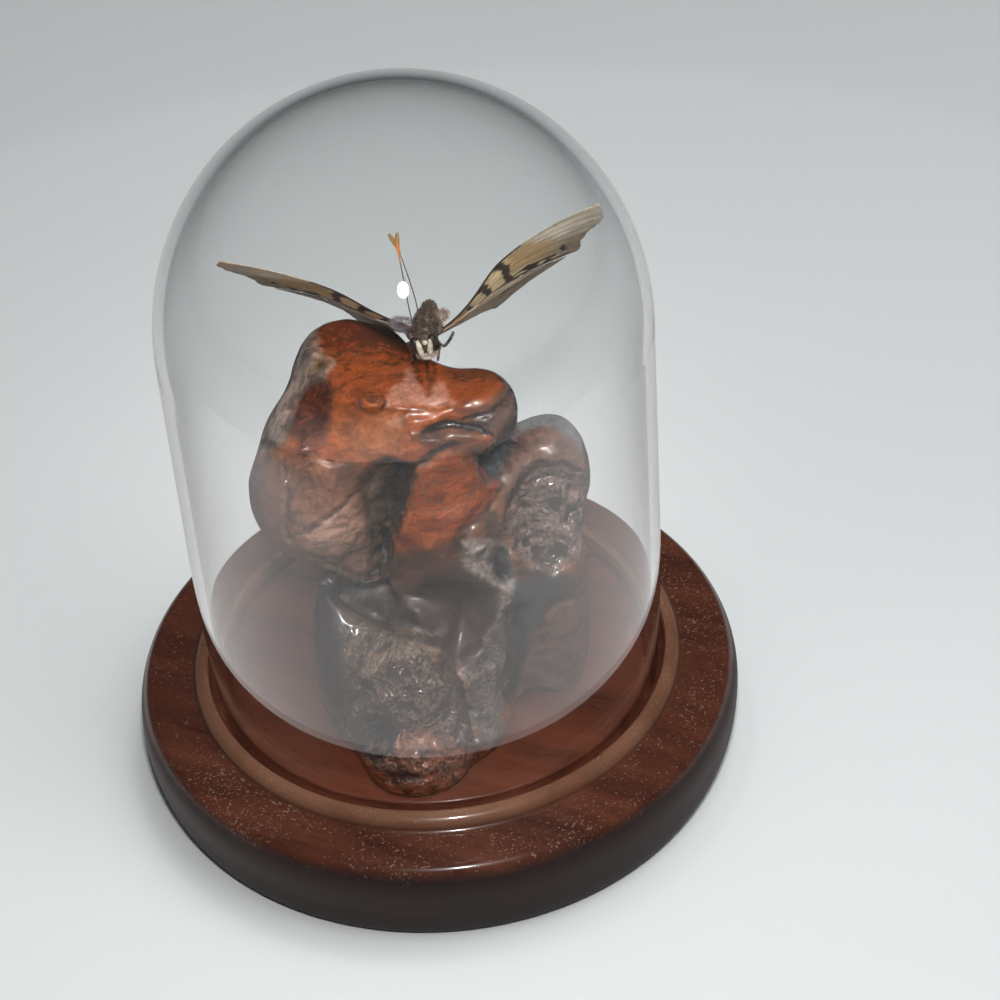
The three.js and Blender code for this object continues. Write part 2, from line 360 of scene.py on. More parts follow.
baseLook = {
    "dark": (0.036, 0.0105, 0.0062),
    "middle": (0.070, 0.0200, 0.0110),
    "light": (0.098, 0.030, 0.0155),
    "side": (0.0060, 0.0030, 0.0027),
    "bead": (0.165, 0.077, 0.044),
    "dust": (0.24, 0.155, 0.115),
    "sideStarts": (0.0445, 0.0470),  # radii and heights in metres, each from nothing to full
    "beadOutside": (0.0414, 0.0400),
    "beadInside": (0.0374, 0.0380),
    "beadRise": (0.0158, 0.0164),
    "dustStarts": (0.0372, 0.0384),
}


def makeBase(form):
    top = form["height"]
    bulge = form["bulgeHeight"]
    foot = form["footRadius"]
    rim = form["rimEdge"]
    crest = form["beadCrest"]
    rounding = form["beadRounding"]
    groove = form["groove"]
    floor = top - form["grooveDepth"]
    boss = form["boss"]
    bossTop = top + form["bossHeight"]
    curve = form["bossRounding"]
    profile = [(0, 0), (foot - 1, 0)]
    profile += arcPoints((foot, bulge), (form["radius"] - foot, bulge), -86, 0, 16)
    profile += arcPoints((rim, bulge), (form["radius"] - rim, top - bulge), 6, 90, 14)
    profile += [(rim - 1.6, top), (form["beadFoot"] + 1.5, top)]
    profile += arcPoints((crest, top), (form["beadFoot"] - crest, form["beadHeight"]), 0, 90, 12)
    beadTop = top + form["beadHeight"] - rounding
    profile += arcPoints((crest, beadTop), (crest - groove, rounding), 90, 180, 5)
    profile += [(groove, floor + 0.3), (groove - 0.3, floor), (boss + 0.2, floor), (boss, floor + 0.2)]
    profile += arcPoints((boss - curve, bossTop - curve), (curve, curve), 0, 90, 5)
    profile += [(30, bossTop), (20, bossTop), (10, bossTop), (0, bossTop)]
    return spun("turnedBase", profile, form["steps"])


def makeBaseMaterial(look):
    material, tree, shader = newMaterial("mahoganyStain")
    place = objectPlace(tree)
    turned = mapped(tree, place, turn=24)
    grain = groupNode(tree, grainGroup, {"Vector": turned, "Scale": 210.0, "Stretch": 9.0})
    streaks = grain["Grain"]
    tone = ramp(tree, streaks, [(0.30, look["dark"]), (0.52, look["middle"]), (0.74, look["light"])])
    tone = mixed(tree, times(tree, grain["Pores"], 0.45), tone, (*look["dark"], 1))
    height = split(tree, place)[2]
    radius = vectorMaths(tree, "LENGTH", {0: mapped(tree, place, scale=(1, 1, 0))})["Value"]
    upward = facingUp(tree)
    blotches = noiseAt(tree, place, 60.0, 3.0)
    side = span(tree, plus(tree, upward, times(tree, blotches, 0.3)), 0.85, 0.45)
    side = times(tree, side, span(tree, radius, *look["sideStarts"]))
    tone = mixed(tree, times(tree, side, 0.92), tone, (*look["side"], 1))
    bead = times(tree, span(tree, radius, *look["beadInside"]), span(tree, height, *look["beadRise"]))
    bead = times(tree, span(tree, radius, *look["beadOutside"]), bead)
    bead = times(tree, bead, span(tree, blotches, 0.25, 0.7, 0.35, 0.95))
    tone = mixed(tree, bead, tone, (*look["bead"], 1))
    dust = groupNode(tree, dustGroup, {"Vector": place, "Scale": 2600.0, "Amount": 0.31})["Dust"]
    dust = times(tree, dust, span(tree, radius, *look["dustStarts"]))
    film = times(tree, span(tree, noiseAt(tree, place, 120.0, 5.0), 0.4, 0.75, 0.0, 0.28), dust)
    tone = mixed(tree, plus(tree, times(tree, dust, 0.55), film), tone, (*look["dust"], 1))
    rough = plus(tree, times(tree, streaks, 0.16), times(tree, dust, 0.35))
    rough = plus(tree, plus(tree, rough, times(tree, side, 0.35)), 0.22)
    relief = plus(tree, streaks, times(tree, dust, 1.5))
    coat = minus(tree, 0.5, times(tree, side, 0.46))
    dress(
        tree, shader, BaseColor=tone, Roughness=rough, CoatWeight=coat, CoatRoughness=0.1,
        SpecularIORLevel=0.2, Normal=bumped(tree, relief, 0.25, 0.0002),
    )
    return material


finishPiece(makeBase(baseForm), "base", [makeBaseMaterial(baseLook)])


# ---- glass dome ----
domeForm = {
    "radius": 37.8,
    "footRadius": 37.0,
    "wall": 1.6,
    "spring": 83.0,
    "top": 122.4,
    "flareTop": 38.0,
    "foot": 14.8,
    "steps": 200,
}


def makeDome(form):
    outer = form["radius"]
    inner = outer - form["wall"]
    flare = form["flareTop"]
    drop = flare - form["foot"]
    bend = outer - form["footRadius"]
    lip = form["wall"] / 2

    def flareAt(radius, share):  # the wall draws in towards the foot
        return radius - bend * share * share * (3 - 2 * share), flare - drop * share * 0.96

    profile = arcPoints((0, form["spring"]), (inner, form["top"] - form["wall"] - form["spring"]), 90, 0, 40)
    profile += [(inner, 68), (inner, 53)]
    profile += [flareAt(inner, i / 8) for i in range(9)]
    profile += arcPoints((form["footRadius"] - lip, form["foot"] + 0.8), (lip, 0.8), 180, 360, 8)
    profile += [flareAt(outer, i / 8) for i in range(8, -1, -1)]
    profile += [(outer, 53), (outer, 68)]
    profile += arcPoints((0, form["spring"]), (outer, form["top"] - form["spring"]), 0, 90, 40)
    profile[0] = (0, profile[0][1])
    profile[-1] = (0, profile[-1][1])
    return spun("blownDome", profile, form["steps"])


def makeGlassMaterial():
    material, tree, shader = newMaterial("clearGlass")
    dress(tree, shader, BaseColor=(0.985, 0.99, 0.988, 1), Roughness=0.0, IOR=1.48, TransmissionWeight=1.0)
    return material


dome = makeDome(domeForm)
finishPiece(dome, "glass_dome", [makeGlassMaterial()])
dome.visible_shadow = False  # its soft shadow would only darken what it covers


# ---- burl ----
burlForm = {
    "foot": 17.5,
    "top": 79.0,
    "coarse": 0.9,
    "fine": 0.34,
    "triangles": 188000,
    "fill": 3.0,
    "lumps": 1.0,
    "grain": 0.10,
    "ridge": {
        "at": (4, -2.6, 79), "slope": 62, "turn": -44, "swell": 1.7, "swellAt": -2.0, "swellReach": 4.5,
    },
    "backed": {  # each lobe's place, size and turn
        "trunk": ((1, 3, 46), (13, 11, 34)),
        "head": ((-0.5, -2.5, 69), (16, 13.5, 13.5)),
        "leftShoulder": ((-9.3, 2.6, 68.4), (9.9, 12.4, 13.2)),
        "leftLobe": ((-15.5, -6.5, 58.4), (11, 10.5, 12.2), (0, -14, 0)),
        "leftCheek": ((-12.5, -4.5, 63.5), (11.5, 11.5, 12), (0, -30, 0)),
        "column": ((3.5, -5, 52), (10.5, 11, 23)),
        "lowColumn": ((2.5, -7, 33), (9, 10, 17)),
        "leftTrunk": ((-13.2, -14, 28.4), (5.4, 7.5, 18), (-20, -5, 0)),
        "knob": ((-4.6, -16.8, 27.5), (11.2, 11, 12), (10, 0, 0)),
        "tongue": ((-3.8, -24.3, 19.5), (9.2, 9.8, 7), (20, 0, 0)),
        "backFoot": ((-1, 11, 25), (11, 9, 16)),
        "backLobe": ((3, 9, 56), (12, 8.5, 12)),
    },
    "side": {  # joined on after the cut behind the ridge
        "rightKnuckle": ((9.8, -8.8, 72.5), (6.8, 6.4, 8), (0, 0, -12)),
        "rightLobe": ((18.6, -3, 53.4), (8, 9.5, 12), (0, 20, 0)),
        "rightBridge": ((13, -4, 48), (8, 8, 13)),
        "rightPillar": ((19.6, -7.5, 36), (5.9, 7.5, 27)),
        "eyeBoss": ((9.6, -11.5, 47), (3.8, 4, 5)),
        "middleRidge": ((10.2, -14.5, 31), (3, 5, 15), (-17, 8, 0)),
        "rightToe": ((6, -18.5, 19), (6, 9, 5), (12, 0, -20)),
    },
}

burlLook = {
    # near black, used for real cracks and for painted shade in folds and hollows
    "deep": (0.010, 0.005, 0.0035),
    "backDark": (0.060, 0.040, 0.030),
    "backLight": (0.20, 0.070, 0.028),
    "fibreAcross": (0.92, -0.20, -0.33),
    "grainAcross": (-0.30, 0.45, 0.84),
}

# lines and outlines on the burl as they lie in the front view, in thousandths of its width;
# grooves and ridges have their width, depth in mm and taper before the line
burlGrooves = {
    "slit": (4.6, 1.9, 0.15, (424, 431), (434, 427), (449, 424), (462, 426), (476, 429), (490, 433)),
    "underLip": (
        4, 1.3, 0.1, (362, 476), (374, 466), (388, 461), (402, 465), (418, 466), (430, 459), (438, 449),
        (452, 444),
    ),
    "cleft": (8, 2.6, 0.0, (398, 478), (396, 500), (388, 525), (382, 548), (378, 568)),
    "columnEdge": (6, 1.2, 0.2, (498, 485), (490, 500), (477, 512), (462, 535), (455, 560)),
    "gap": (9, 2.6, 0.2, (478, 455), (487, 468), (497, 470), (507, 457), (519, 440)),
    "lobeBrow": (5, 1.0, 0.2, (500, 520), (510, 497), (522, 474), (540, 460), (562, 459), (580, 468)),
    "lobeCrack": (2.2, 0.8, 0.1, (364, 477), (352, 494), (340, 508), (324, 519), (306, 530), (291, 534)),
    "knotLine": (3, 0.5, 0.1, (284, 462), (288, 480), (290, 500), (287, 515), (289, 534)),
    "foldLine": (3, 0.6, 0.2, (250, 452), (262, 445), (280, 449), (303, 456), (330, 461), (352, 463)),
    "underLobe": (5, 2.2, 0.1, (300, 551), (322, 560), (343, 568), (362, 575), (384, 572)),
    "ringHollow": (9, 2.2, 0.0, (500, 548), (497, 562), (502, 574)),
    "ridgeSide": (11, 2.2, 0.1, (514, 600), (520, 640), (512, 672), (508, 700)),
    "columnHollow": (16, 2.0, 0.0, (470, 600), (468, 630), (458, 660)),
    "saddleTop": (10, 2.4, 0.0, (345, 590), (362, 602), (385, 612), (410, 622), (432, 632)),
    "knobRight": (4.5, 1.3, 0.1, (444, 655), (458, 676), (468, 703), (471, 730), (474, 748)),
    "knobLeft": (6, 2.0, 0.1, (366, 674), (352, 693), (343, 715), (346, 738), (360, 760)),
    "knobCave": (7, 2.6, 0.0, (366, 742), (384, 727), (391, 717), (389, 734)),
    "footLine": (3, 0.5, 0.1, (349, 760), (380, 772), (420, 776), (452, 770), (487, 754)),
    "pillarStep": (3.5, 0.7, 0.1, (545, 640), (540, 612), (556, 600), (573, 594)),
    "lipFold": (2.6, 0.9, 0.1, (462, 419), (476, 415), (488, 412), (498, 406), (507, 397), (512, 390)),
    "lipEdge": (4, 1.8, 0.0, (519, 416), (511, 428), (502, 438), (492, 447), (486, 456)),
    "topFold": (2, 0.25, 0.2, (322, 350), (334, 354), (348, 350), (372, 352)),
    "knotRim": (3, 0.35, 0.2, (358, 398), (361, 410), (372, 416), (384, 412), (388, 402), (382, 394)),
    "knotHole": (3.2, 1.2, 0.0, (379, 399), (381, 402)),
    "crackTwo": (1.6, 0.6, 0.1, (336, 572), (341, 556), (352, 548), (358, 535), (370, 530)),
    "crackThree": (1.8, 0.6, 0.1, (286, 500), (291, 520), (287, 534), (295, 541)),
    "crackFour": (2.2, 0.8, 0.1, (254, 470), (262, 452), (270, 444)),
}

burlRidges = {
    "knot": (8.5, 1.7, 0.0, (367, 405), (378, 402)),
    "knotTwo": (4, 0.6, 0.0, (303, 449), (304, 451)),
    "knotThree": (4.5, 0.6, 0.0, (285, 478), (286, 482)),
    "knotFour": (4, 0.5, 0.0, (288, 506), (289, 510)),
    "slitLip": (6, 0.6, 0.2, (404, 428), (420, 421), (440, 416), (455, 413)),
    "wetLip": (3, 1.1, 0.05, (407, 435), (418, 439), (430, 440), (445, 439)),
    "topEdge": (3, 0.35, 0.1, (388, 405), (410, 409), (430, 410), (452, 409), (472, 406)),
    "caveLip": (2.5, 1.0, 0.0, (360, 737), (366, 722), (372, 708), (384, 703)),
    "lowerLip": (8, 0.9, 0.2, (400, 452), (425, 445), (450, 438), (480, 436), (497, 428)),
    "ringRim": (
        4, 0.9, 0.0, (486, 541), (472, 548), (468, 560), (473, 572), (485, 577), (499, 582), (509, 592),
    ),
    "middleRidge": (5, 0.9, 0.1, (506, 596), (494, 620), (480, 645), (465, 670)),
    "lobeBand": (9, 0.6, 0.1, (506, 470), (519, 448), (540, 436), (562, 438), (578, 450)),
    "knobRim": (3, 0.6, 0.1, (347, 738), (345, 715), (352, 696), (366, 686), (382, 682)),
    "knobBack": (3, 1.1, 0.1, (446, 714), (458, 726), (468, 740), (477, 748)),
    "wetOne": (5, 0.8, 0.1, (390, 664), (394, 678), (399, 697)),
    "wetTwo": (5, 0.8, 0.1, (359, 728), (367, 708), (383, 692)),
    "wetThree": (5, 0.8, 0.1, (413, 721), (423, 711), (431, 694)),
    "wetFour": (5, 0.8, 0.1, (436, 717), (449, 731), (461, 743)),
    "wetFive": (4, 0.6, 0.1, (384, 752), (395, 755), (409, 756)),
    "wetSix": (4, 0.7, 0.1, (408, 668), (416, 680), (420, 694)),
    "brightOval": (6, 0.8, 0.0, (414, 634), (424, 637), (436, 645)),
}

burlDips = {  # pressed in: the depth in mm, the width of the slope, and the outline
    "cup": (
        3.2, 14, (508, 500), (514, 485), (524, 471), (540, 461), (562, 460), (580, 468), (588, 482),
        (586, 510), (578, 540), (568, 562), (550, 572), (530, 562), (512, 550), (505, 525),
    ),
    "cleft": (
        3.4, 9, (382, 464), (400, 461), (416, 470), (413, 492), (404, 515), (393, 538), (390, 566),
        (378, 570), (372, 555), (367, 520), (362, 492), (367, 476),
    ),
    "underLobe": (
        3.4, 5, (296, 556), (322, 566), (343, 573), (366, 580), (388, 576), (398, 600), (384, 618),
        (352, 606), (322, 590),
    ),
    "columnFoot": (
        1.6, 14, (395, 590), (440, 580), (462, 585), (470, 600), (475, 630), (462, 660), (445, 650),
        (420, 612),
    ),
    "gap": (
        3.0, 8, (474, 452), (492, 455), (500, 442), (514, 426), (524, 428), (514, 450), (500, 472),
        (486, 480),
    ),
    "knobCave": (
        3.2, 4, (362, 738), (368, 728), (378, 720), (390, 722), (394, 738), (390, 752), (374, 757),
        (360, 750),
    ),
}

burlLines = {  # painted near black: real cracks, knot lines, streaks and drips, and painted shade in the deepest part of folds, slits, gaps and hollows; width, strength and line
    "slit": (4, 0.9, (422, 432), (434, 427), (449, 424), (462, 426), (476, 429), (490, 434)),
    "lipFold": (3, 0.8, (462, 419), (476, 415), (488, 412), (498, 406), (507, 397), (512, 390)),
    "lipEdge": (5, 0.9, (519, 417), (511, 429), (502, 440), (492, 449), (484, 458)),
    "lowerFold": (4, 0.75, (416, 468), (428, 460), (436, 450), (447, 445), (458, 444)),
    "cleftTop": (5, 0.85, (360, 477), (372, 467), (386, 461), (400, 464), (414, 467)),
    "gapStreak": (3, 0.6, (463, 458), (474, 455), (484, 455)),
    "topOne": (2.5, 0.35, (320, 352), (333, 355), (350, 350), (380, 352), (402, 356)),
    "topTwo": (5, 0.3, (330, 343), (352, 338), (376, 338)),
    "topThree": (3, 0.25, (350, 362), (374, 361), (395, 363)),
    "topFour": (4, 0.35, (360, 373), (370, 373)),
    # painted shadow of the butterfly on the top
    "bodyShade": (6, 0.6, (384, 338), (400, 345), (412, 352)),
    "knotSide": (2.5, 0.55, (382, 396), (385, 403), (381, 409)),
    "knotRim": (2, 0.3, (359, 398), (361, 406)),
    "dripOne": (4, 0.45, (414, 362), (417, 372), (421, 384)),
    "dripTwo": (4, 0.45, (426, 362), (429, 376), (431, 393)),
    "dripThree": (4, 0.45, (435, 364), (435, 374), (433, 382)),
    "ringHollow": (5, 0.8, (500, 546), (496, 560), (501, 574)),
    "ringShade": (3, 0.5, (486, 541), (478, 556), (484, 570)),
    "cupRim": (5, 0.75, (505, 515), (510, 496), (522, 474), (540, 461), (562, 459), (582, 470)),
    "columnEdge": (3, 0.6, (500, 482), (491, 500), (478, 512), (464, 534)),
    "ridgeSide": (7, 0.8, (516, 598), (522, 640), (514, 672), (508, 700)),
    "knobRight": (4, 0.7, (440, 652), (455, 672), (466, 700), (471, 728)),
    # painted shade down the trunk's shaded left side
    "legSide": (8, 0.7, (318, 568), (322, 610), (330, 660), (338, 700)),
    "pillarStep": (3, 0.6, (516, 694), (540, 698), (562, 700), (584, 698)),
    "pillarTop": (3, 0.6, (540, 640), (540, 612), (556, 600), (573, 594)),
    "footGap": (3, 0.8, (452, 772), (457, 782), (446, 792)),
    "saddleOne": (4, 0.6, (345, 600), (366, 612), (395, 616), (420, 620)),
    "saddleTwo": (3.5, 0.7, (404, 620), (420, 622), (436, 630), (446, 645)),
    "lobeCrack": (2, 0.75, (366, 476), (352, 494), (340, 508), (324, 519), (306, 530), (288, 534)),
    "knotLine": (2.5, 0.55, (284, 462), (288, 480), (290, 500), (287, 515), (289, 534)),
    "crackTwo": (1.8, 0.7, (336, 572), (341, 556), (352, 548), (358, 535), (370, 530)),
    "crackFour": (2.5, 0.7, (252, 452), (262, 442), (268, 438)),
    "knotTwo": (1.8, 0.6, (300, 450), (304, 446), (308, 452), (304, 456), (300, 451)),
}

# outlines of one colour each, laid one over another: the softness of the edge, the colour,
# the shares of gloss, mottle, fibre, grit and crack, and the outline
burlTones = {
    "polishedTop": (
        4, (0.235, 0.052, 0.012), (1.0, 0.45, 0, 0, 0), (314, 341), (327, 319), (349, 312), (389, 322),
        (410, 343), (426, 354), (455, 358), (481, 363), (506, 384), (492, 397), (474, 406), (446, 408),
        (400, 408), (389, 406), (376, 396), (357, 396), (333, 388), (326, 377), (334, 360), (323, 356),
    ),
    "topDark": (
        8, (0.125, 0.026, 0.008), (1.0, 0.5, 0, 0, 0), (318, 330), (345, 314), (389, 322), (410, 343),
        (408, 356), (380, 352), (340, 356), (320, 350),
    ),
    # painted shadow: the left wing's shadow, painted dark on the top under it
    "wingShade": (
        5, (0.02, 0.008, 0.005), (1.0, 0.5, 0, 0, 0), (348, 310), (372, 314), (394, 324), (414, 340),
        (414, 349), (398, 346), (380, 336), (360, 325),
    ),
    # painted reflection: a paler patch where the varnished top would mirror the pale surroundings
    "topBloom": (
        3, (0.35, 0.15, 0.095), (1.0, 0.25, 0, 0, 0), (382, 404), (390, 391), (402, 380), (408, 366),
        (414, 378), (420, 390), (430, 396), (438, 381), (446, 388), (452, 398), (460, 404), (430, 408),
    ),
    "topRight": (
        7, (0.13, 0.03, 0.009), (1.0, 0.6, 0, 0, 0), (442, 362), (481, 363), (500, 378), (476, 380),
        (452, 384), (444, 376),
    ),
    "frontFace": (
        8, (0.31, 0.07, 0.017), (0.9, 0.5, 0, 0, 0), (333, 388), (392, 407), (446, 409), (480, 405),
        (498, 399), (488, 414), (450, 425), (425, 432), (408, 436), (430, 444), (470, 438), (498, 432),
        (503, 442), (470, 447), (444, 450), (430, 461), (414, 471), (399, 466), (384, 465), (350, 462),
        (300, 455), (287, 447), (296, 435), (325, 441), (332, 420),
    ),
    "tanFront": (
        16, (0.29, 0.095, 0.033), (0.9, 0.4, 0, 0, 0), (345, 410), (372, 416), (398, 412), (408, 425),
        (402, 445), (385, 462), (350, 455), (335, 430),
    ),
    "lipShade": (
        6, (0.11, 0.05, 0.032), (0.8, 0.4, 0, 0, 0), (466, 408), (492, 400), (512, 384), (522, 400),
        (516, 418), (500, 434), (480, 430), (470, 424),
    ),
    "orangePatch": (
        9, (0.085, 0.018, 0.006), (0.9, 0.9, 0, 0, 0), (325, 378), (333, 392), (331, 420), (325, 440),
        (302, 443), (289, 430), (292, 406), (305, 386),
    ),
    # partly the grey streaks of weathered wood, partly a painted sheen of the pale surroundings on the
    # varnish
    "silverSide": (
        6, (0.26, 0.18, 0.145), (0.5, 0.9, 1.0, 0, 0), (314, 334), (324, 357), (333, 362), (326, 377),
        (308, 384), (294, 405), (284, 440), (268, 452), (246, 456), (262, 425), (276, 390), (294, 350),
    ),
    "silverGold": (
        4, (0.14, 0.085, 0.035), (0.6, 0.7, 0.8, 0, 0), (316, 358), (330, 360), (328, 366), (316, 372),
        (308, 376),
    ),
    "lobe": (
        8, (0.17, 0.072, 0.043), (0.6, 0.6, 0, 0.04, 0.45), (244, 462), (300, 461), (352, 464),
        (382, 470), (364, 482), (368, 510), (378, 540), (374, 572), (343, 570), (300, 556), (262, 541),
        (240, 510),
    ),
    # painted light: a lit, paler copy of the lobe's colour
    "lobeLight": (
        14, (0.37, 0.205, 0.145), (0.6, 0.7, 0, 0.05, 0.45), (306, 520), (330, 514), (352, 500),
        (368, 520), (374, 548), (370, 570), (343, 566), (312, 552),
    ),
    # painted shade: a shaded, darker copy of the lobe's colour on its left side
    "lobeShade": (
        20, (0.12, 0.055, 0.038), (0.6, 0.6, 0, 0.04, 0.6), (244, 458), (268, 462), (282, 480),
        (284, 520), (296, 550), (262, 545), (240, 510),
    ),
    "columnLow": (
        22, (0.115, 0.05, 0.034), (0.6, 0.5, 0, 0, 0), (384, 560), (470, 520), (462, 560), (440, 600),
        (388, 610),
    ),
    "column": (
        6, (0.33, 0.08, 0.026), (0.8, 0.5, 0.4, 0, 0), (412, 476), (430, 463), (444, 452), (480, 455),
        (490, 468), (500, 482), (492, 498), (477, 512), (455, 532), (430, 545), (396, 552), (389, 545),
        (392, 536), (404, 511),
    ),
    "cleft": (
        5, (0.062, 0.04, 0.028), (0.4, 0.6, 1.0, 0.2, 0), (380, 470), (400, 462), (416, 471), (411, 488),
        (404, 508), (392, 530), (386, 552), (384, 568), (374, 572), (376, 548), (378, 520), (372, 500),
        (364, 486), (366, 476),
    ),
    "cleftPale": (
        7, (0.15, 0.095, 0.062), (0.5, 0.9, 0.8, 0.2, 0), (363, 486), (374, 478), (386, 486), (391, 512),
        (386, 536), (376, 556), (371, 548), (366, 520),
    ),
    "gap": (
        6, (0.075, 0.085, 0.095), (0.5, 0.5, 0, 0, 0), (474, 450), (492, 455), (500, 440), (514, 422),
        (530, 416), (522, 440), (506, 468), (487, 482),
    ),
    "lobeBand": (
        6, (0.16, 0.08, 0.058), (0.6, 0.7, 0, 0, 0), (516, 417), (550, 414), (580, 430), (596, 456),
        (594, 480), (580, 467), (562, 458), (540, 459), (523, 471), (512, 492), (500, 505), (498, 485),
        (508, 462), (512, 440),
    ),
    # painted sheen: a grey band where the varnish would mirror the pale surroundings
    "lobeTop": (
        5, (0.2, 0.2, 0.21), (0.6, 0.3, 0.6, 0, 0), (516, 417), (540, 410), (575, 420), (598, 455),
        (588, 450), (566, 432), (540, 425), (522, 428),
    ),
    "cup": (
        10, (0.105, 0.068, 0.057), (1.0, 1.0, 0, 0.6, 0), (508, 500), (514, 485), (524, 471), (540, 460),
        (562, 459), (580, 467), (600, 482), (602, 512), (592, 542), (568, 562), (550, 572), (530, 562),
        (512, 550), (505, 525),
    ),
    "ring": (
        5, (0.27, 0.215, 0.185), (0.5, 0.8, 0.8, 0, 0), (462, 540), (480, 536), (505, 540), (514, 570),
        (518, 600), (506, 600), (494, 582), (476, 580), (464, 568),
    ),
    # painted shade: near black in the hollow of the ring
    "ringHollow": (
        5, (0.03, 0.032, 0.034), (0.5, 0.3, 0, 0, 0), (490, 546), (508, 544), (512, 570), (504, 584),
        (494, 574), (488, 560),
    ),
    "lowColumn": (
        8, (0.04, 0.02, 0.016), (0.3, 0.4, 0, 0, 0), (392, 590), (452, 562), (468, 580), (494, 584),
        (506, 596), (494, 622), (480, 646), (463, 671), (443, 650), (410, 620),
    ),
    # painted shade: darker under the overhang of the left lobe
    "underLobe": (
        8, (0.046, 0.04, 0.036), (0.4, 0.9, 0.9, 0, 0), (318, 566), (344, 570), (374, 574), (392, 590),
        (400, 612), (384, 620), (350, 610), (328, 592),
    ),
    # painted shade: the trunk's shaded left side, near black
    "leftLeg": (
        5, (0.02, 0.015, 0.013), (0.4, 0.4, 0.6, 0, 0), (300, 566), (326, 576), (348, 615), (354, 660),
        (350, 700), (344, 760), (320, 740), (296, 640),
    ),
    "saddle": (
        7, (0.085, 0.056, 0.038), (0.6, 1.0, 0.9, 0.3, 0), (343, 622), (380, 618), (410, 622), (440, 634),
        (448, 655), (420, 656), (390, 660), (362, 684), (350, 700), (342, 660),
    ),
    "ridge": (
        6, (0.07, 0.052, 0.046), (0.4, 0.7, 0.5, 0.35, 0), (500, 592), (516, 600), (514, 640), (504, 700),
        (490, 750), (470, 700), (462, 668), (484, 640),
    ),
    # painted shade: a deep recess between the two legs, near black
    "darkStrip": (
        6, (0.035, 0.036, 0.04), (0.3, 0.3, 0, 0, 0), (512, 575), (562, 574), (560, 592), (545, 605),
        (532, 640), (520, 680), (512, 694), (506, 690),
    ),
    "pillar": (
        6, (0.1, 0.048, 0.034), (0.5, 0.7, 0, 0, 0), (571, 590), (586, 560), (594, 600), (592, 700),
        (560, 712), (514, 695), (526, 660), (534, 636), (546, 605),
    ),
    "knob": (
        6, (0.045, 0.028, 0.022), (1.0, 0.9, 0, 0.9, 0), (362, 681), (392, 657), (430, 652), (450, 660),
        (466, 695), (472, 730), (460, 750), (420, 758), (380, 764), (354, 746), (345, 720), (350, 700),
    ),
    "knobFront": (
        8, (0.115, 0.046, 0.027), (0.9, 0.9, 0, 0.45, 0), (396, 725), (420, 722), (450, 735), (470, 750),
        (450, 768), (410, 772), (392, 760),
    ),
    # painted shade: near black inside the cave of the knob
    "cave": (
        4, (0.02, 0.02, 0.022), (0.7, 0.3, 0, 0.5, 0), (360, 720), (372, 712), (391, 715), (397, 732),
        (392, 752), (374, 758), (360, 750),
    ),
    "cavePatch": (
        3, (0.22, 0.13, 0.08), (0.7, 0.3, 0, 0, 0), (369, 737), (384, 735), (385, 746), (370, 748),
    ),
    "tongue": (
        5, (0.082, 0.021, 0.007), (0.8, 1.0, 0, 0.25, 0), (346, 760), (380, 768), (420, 771), (457, 762),
        (478, 748), (500, 742), (505, 765), (480, 785), (440, 796), (400, 806), (356, 792), (340, 772),
    ),
}


def remeshed(piece, voxel, smoothing=0):
    remesh = piece.modifiers.new("remesh", "REMESH")
    remesh.mode = "VOXEL"
    remesh.voxel_size = voxel
    if smoothing:
        smooth = piece.modifiers.new("smooth", "SMOOTH")
        smooth.factor = 0.5
        smooth.iterations = smoothing
    settle(piece)


def cutBehindRidge(mesh, ridge):
    tilt = Matrix.Rotation(math.radians(-ridge["slope"]), 3, "X")
    normal = np.array(Matrix.Rotation(math.radians(ridge["turn"]), 3, "Z") @ tilt @ Vector((0, 0, 1)))
    places = vertexArray(mesh)
    swell = ridge["swell"] * np.exp(-((places[:, 0] - ridge["swellAt"]) / ridge["swellReach"]) ** 2)
    beyond = np.maximum((places - np.array(ridge["at"])) @ normal - swell, 0)
    setVertices(mesh, places - beyond[:, None] * normal)


def fillCreases(piece, reach, voxel):  # grown and drawn back again, so that narrow creases stay filled
    for move in (reach / 3, reach / 3, reach / 3, -reach / 3, -reach / 3, -reach / 3):
        places = vertexArray(piece.data)
        setVertices(piece.data, places + vertexArray(piece.data, "normal") * move)
        remeshed(piece, voxel)


def frontMap(mesh, setup):  # where each vertex lies in the front view, and how squarely it faces it
    tilt = Matrix.Rotation(math.radians(90 - setup["elevation"]), 4, "X")
    roll = Matrix.Rotation(math.radians(-setup["roll"]), 4, "Z")
    back = Matrix.Translation((0, 0, setup["distance"] / mm))
    stand = Matrix.Translation(Vector(setup["aim"]) / mm) @ tilt @ back @ roll
    inverse = np.array(stand.inverted())
    places = vertexArray(mesh)
    local = places @ inverse[:3, :3].T + inverse[:3, 3]
    scale = 1000 * setup["lens"] / setup["sensor"]
    across = 500 - scale * local[:, 0] / local[:, 2]
    down = 500 + scale * local[:, 1] / local[:, 2]
    spots = np.stack([across, down], axis=-1)
    sight = np.array(stand.translation) - places
    sight /= np.linalg.norm(sight, axis=1)[:, None]
    return spots, (sight * vertexArray(mesh, "normal")).sum(1), sight


def lineReach(spots, line):  # how far each spot is from a bent line, and where along it
    corners = np.array(line, dtype=float)
    lengths = np.linalg.norm(corners[1:] - corners[:-1], axis=1)
    starts = np.concatenate([[0], np.cumsum(lengths)])
    gap = np.full(len(spots), 1e9)
    share = np.zeros(len(spots))
    for k, (a, b) in enumerate(zip(corners, corners[1:])):
        step = b - a
        t = np.clip((spots - a) @ step / (step @ step), 0, 1)
        here = np.linalg.norm(spots - a - t[:, None] * step, axis=1)
        share = np.where(here < gap, (starts[k] + t * lengths[k]) / starts[-1], share)
        gap = np.minimum(gap, here)
    return gap, share


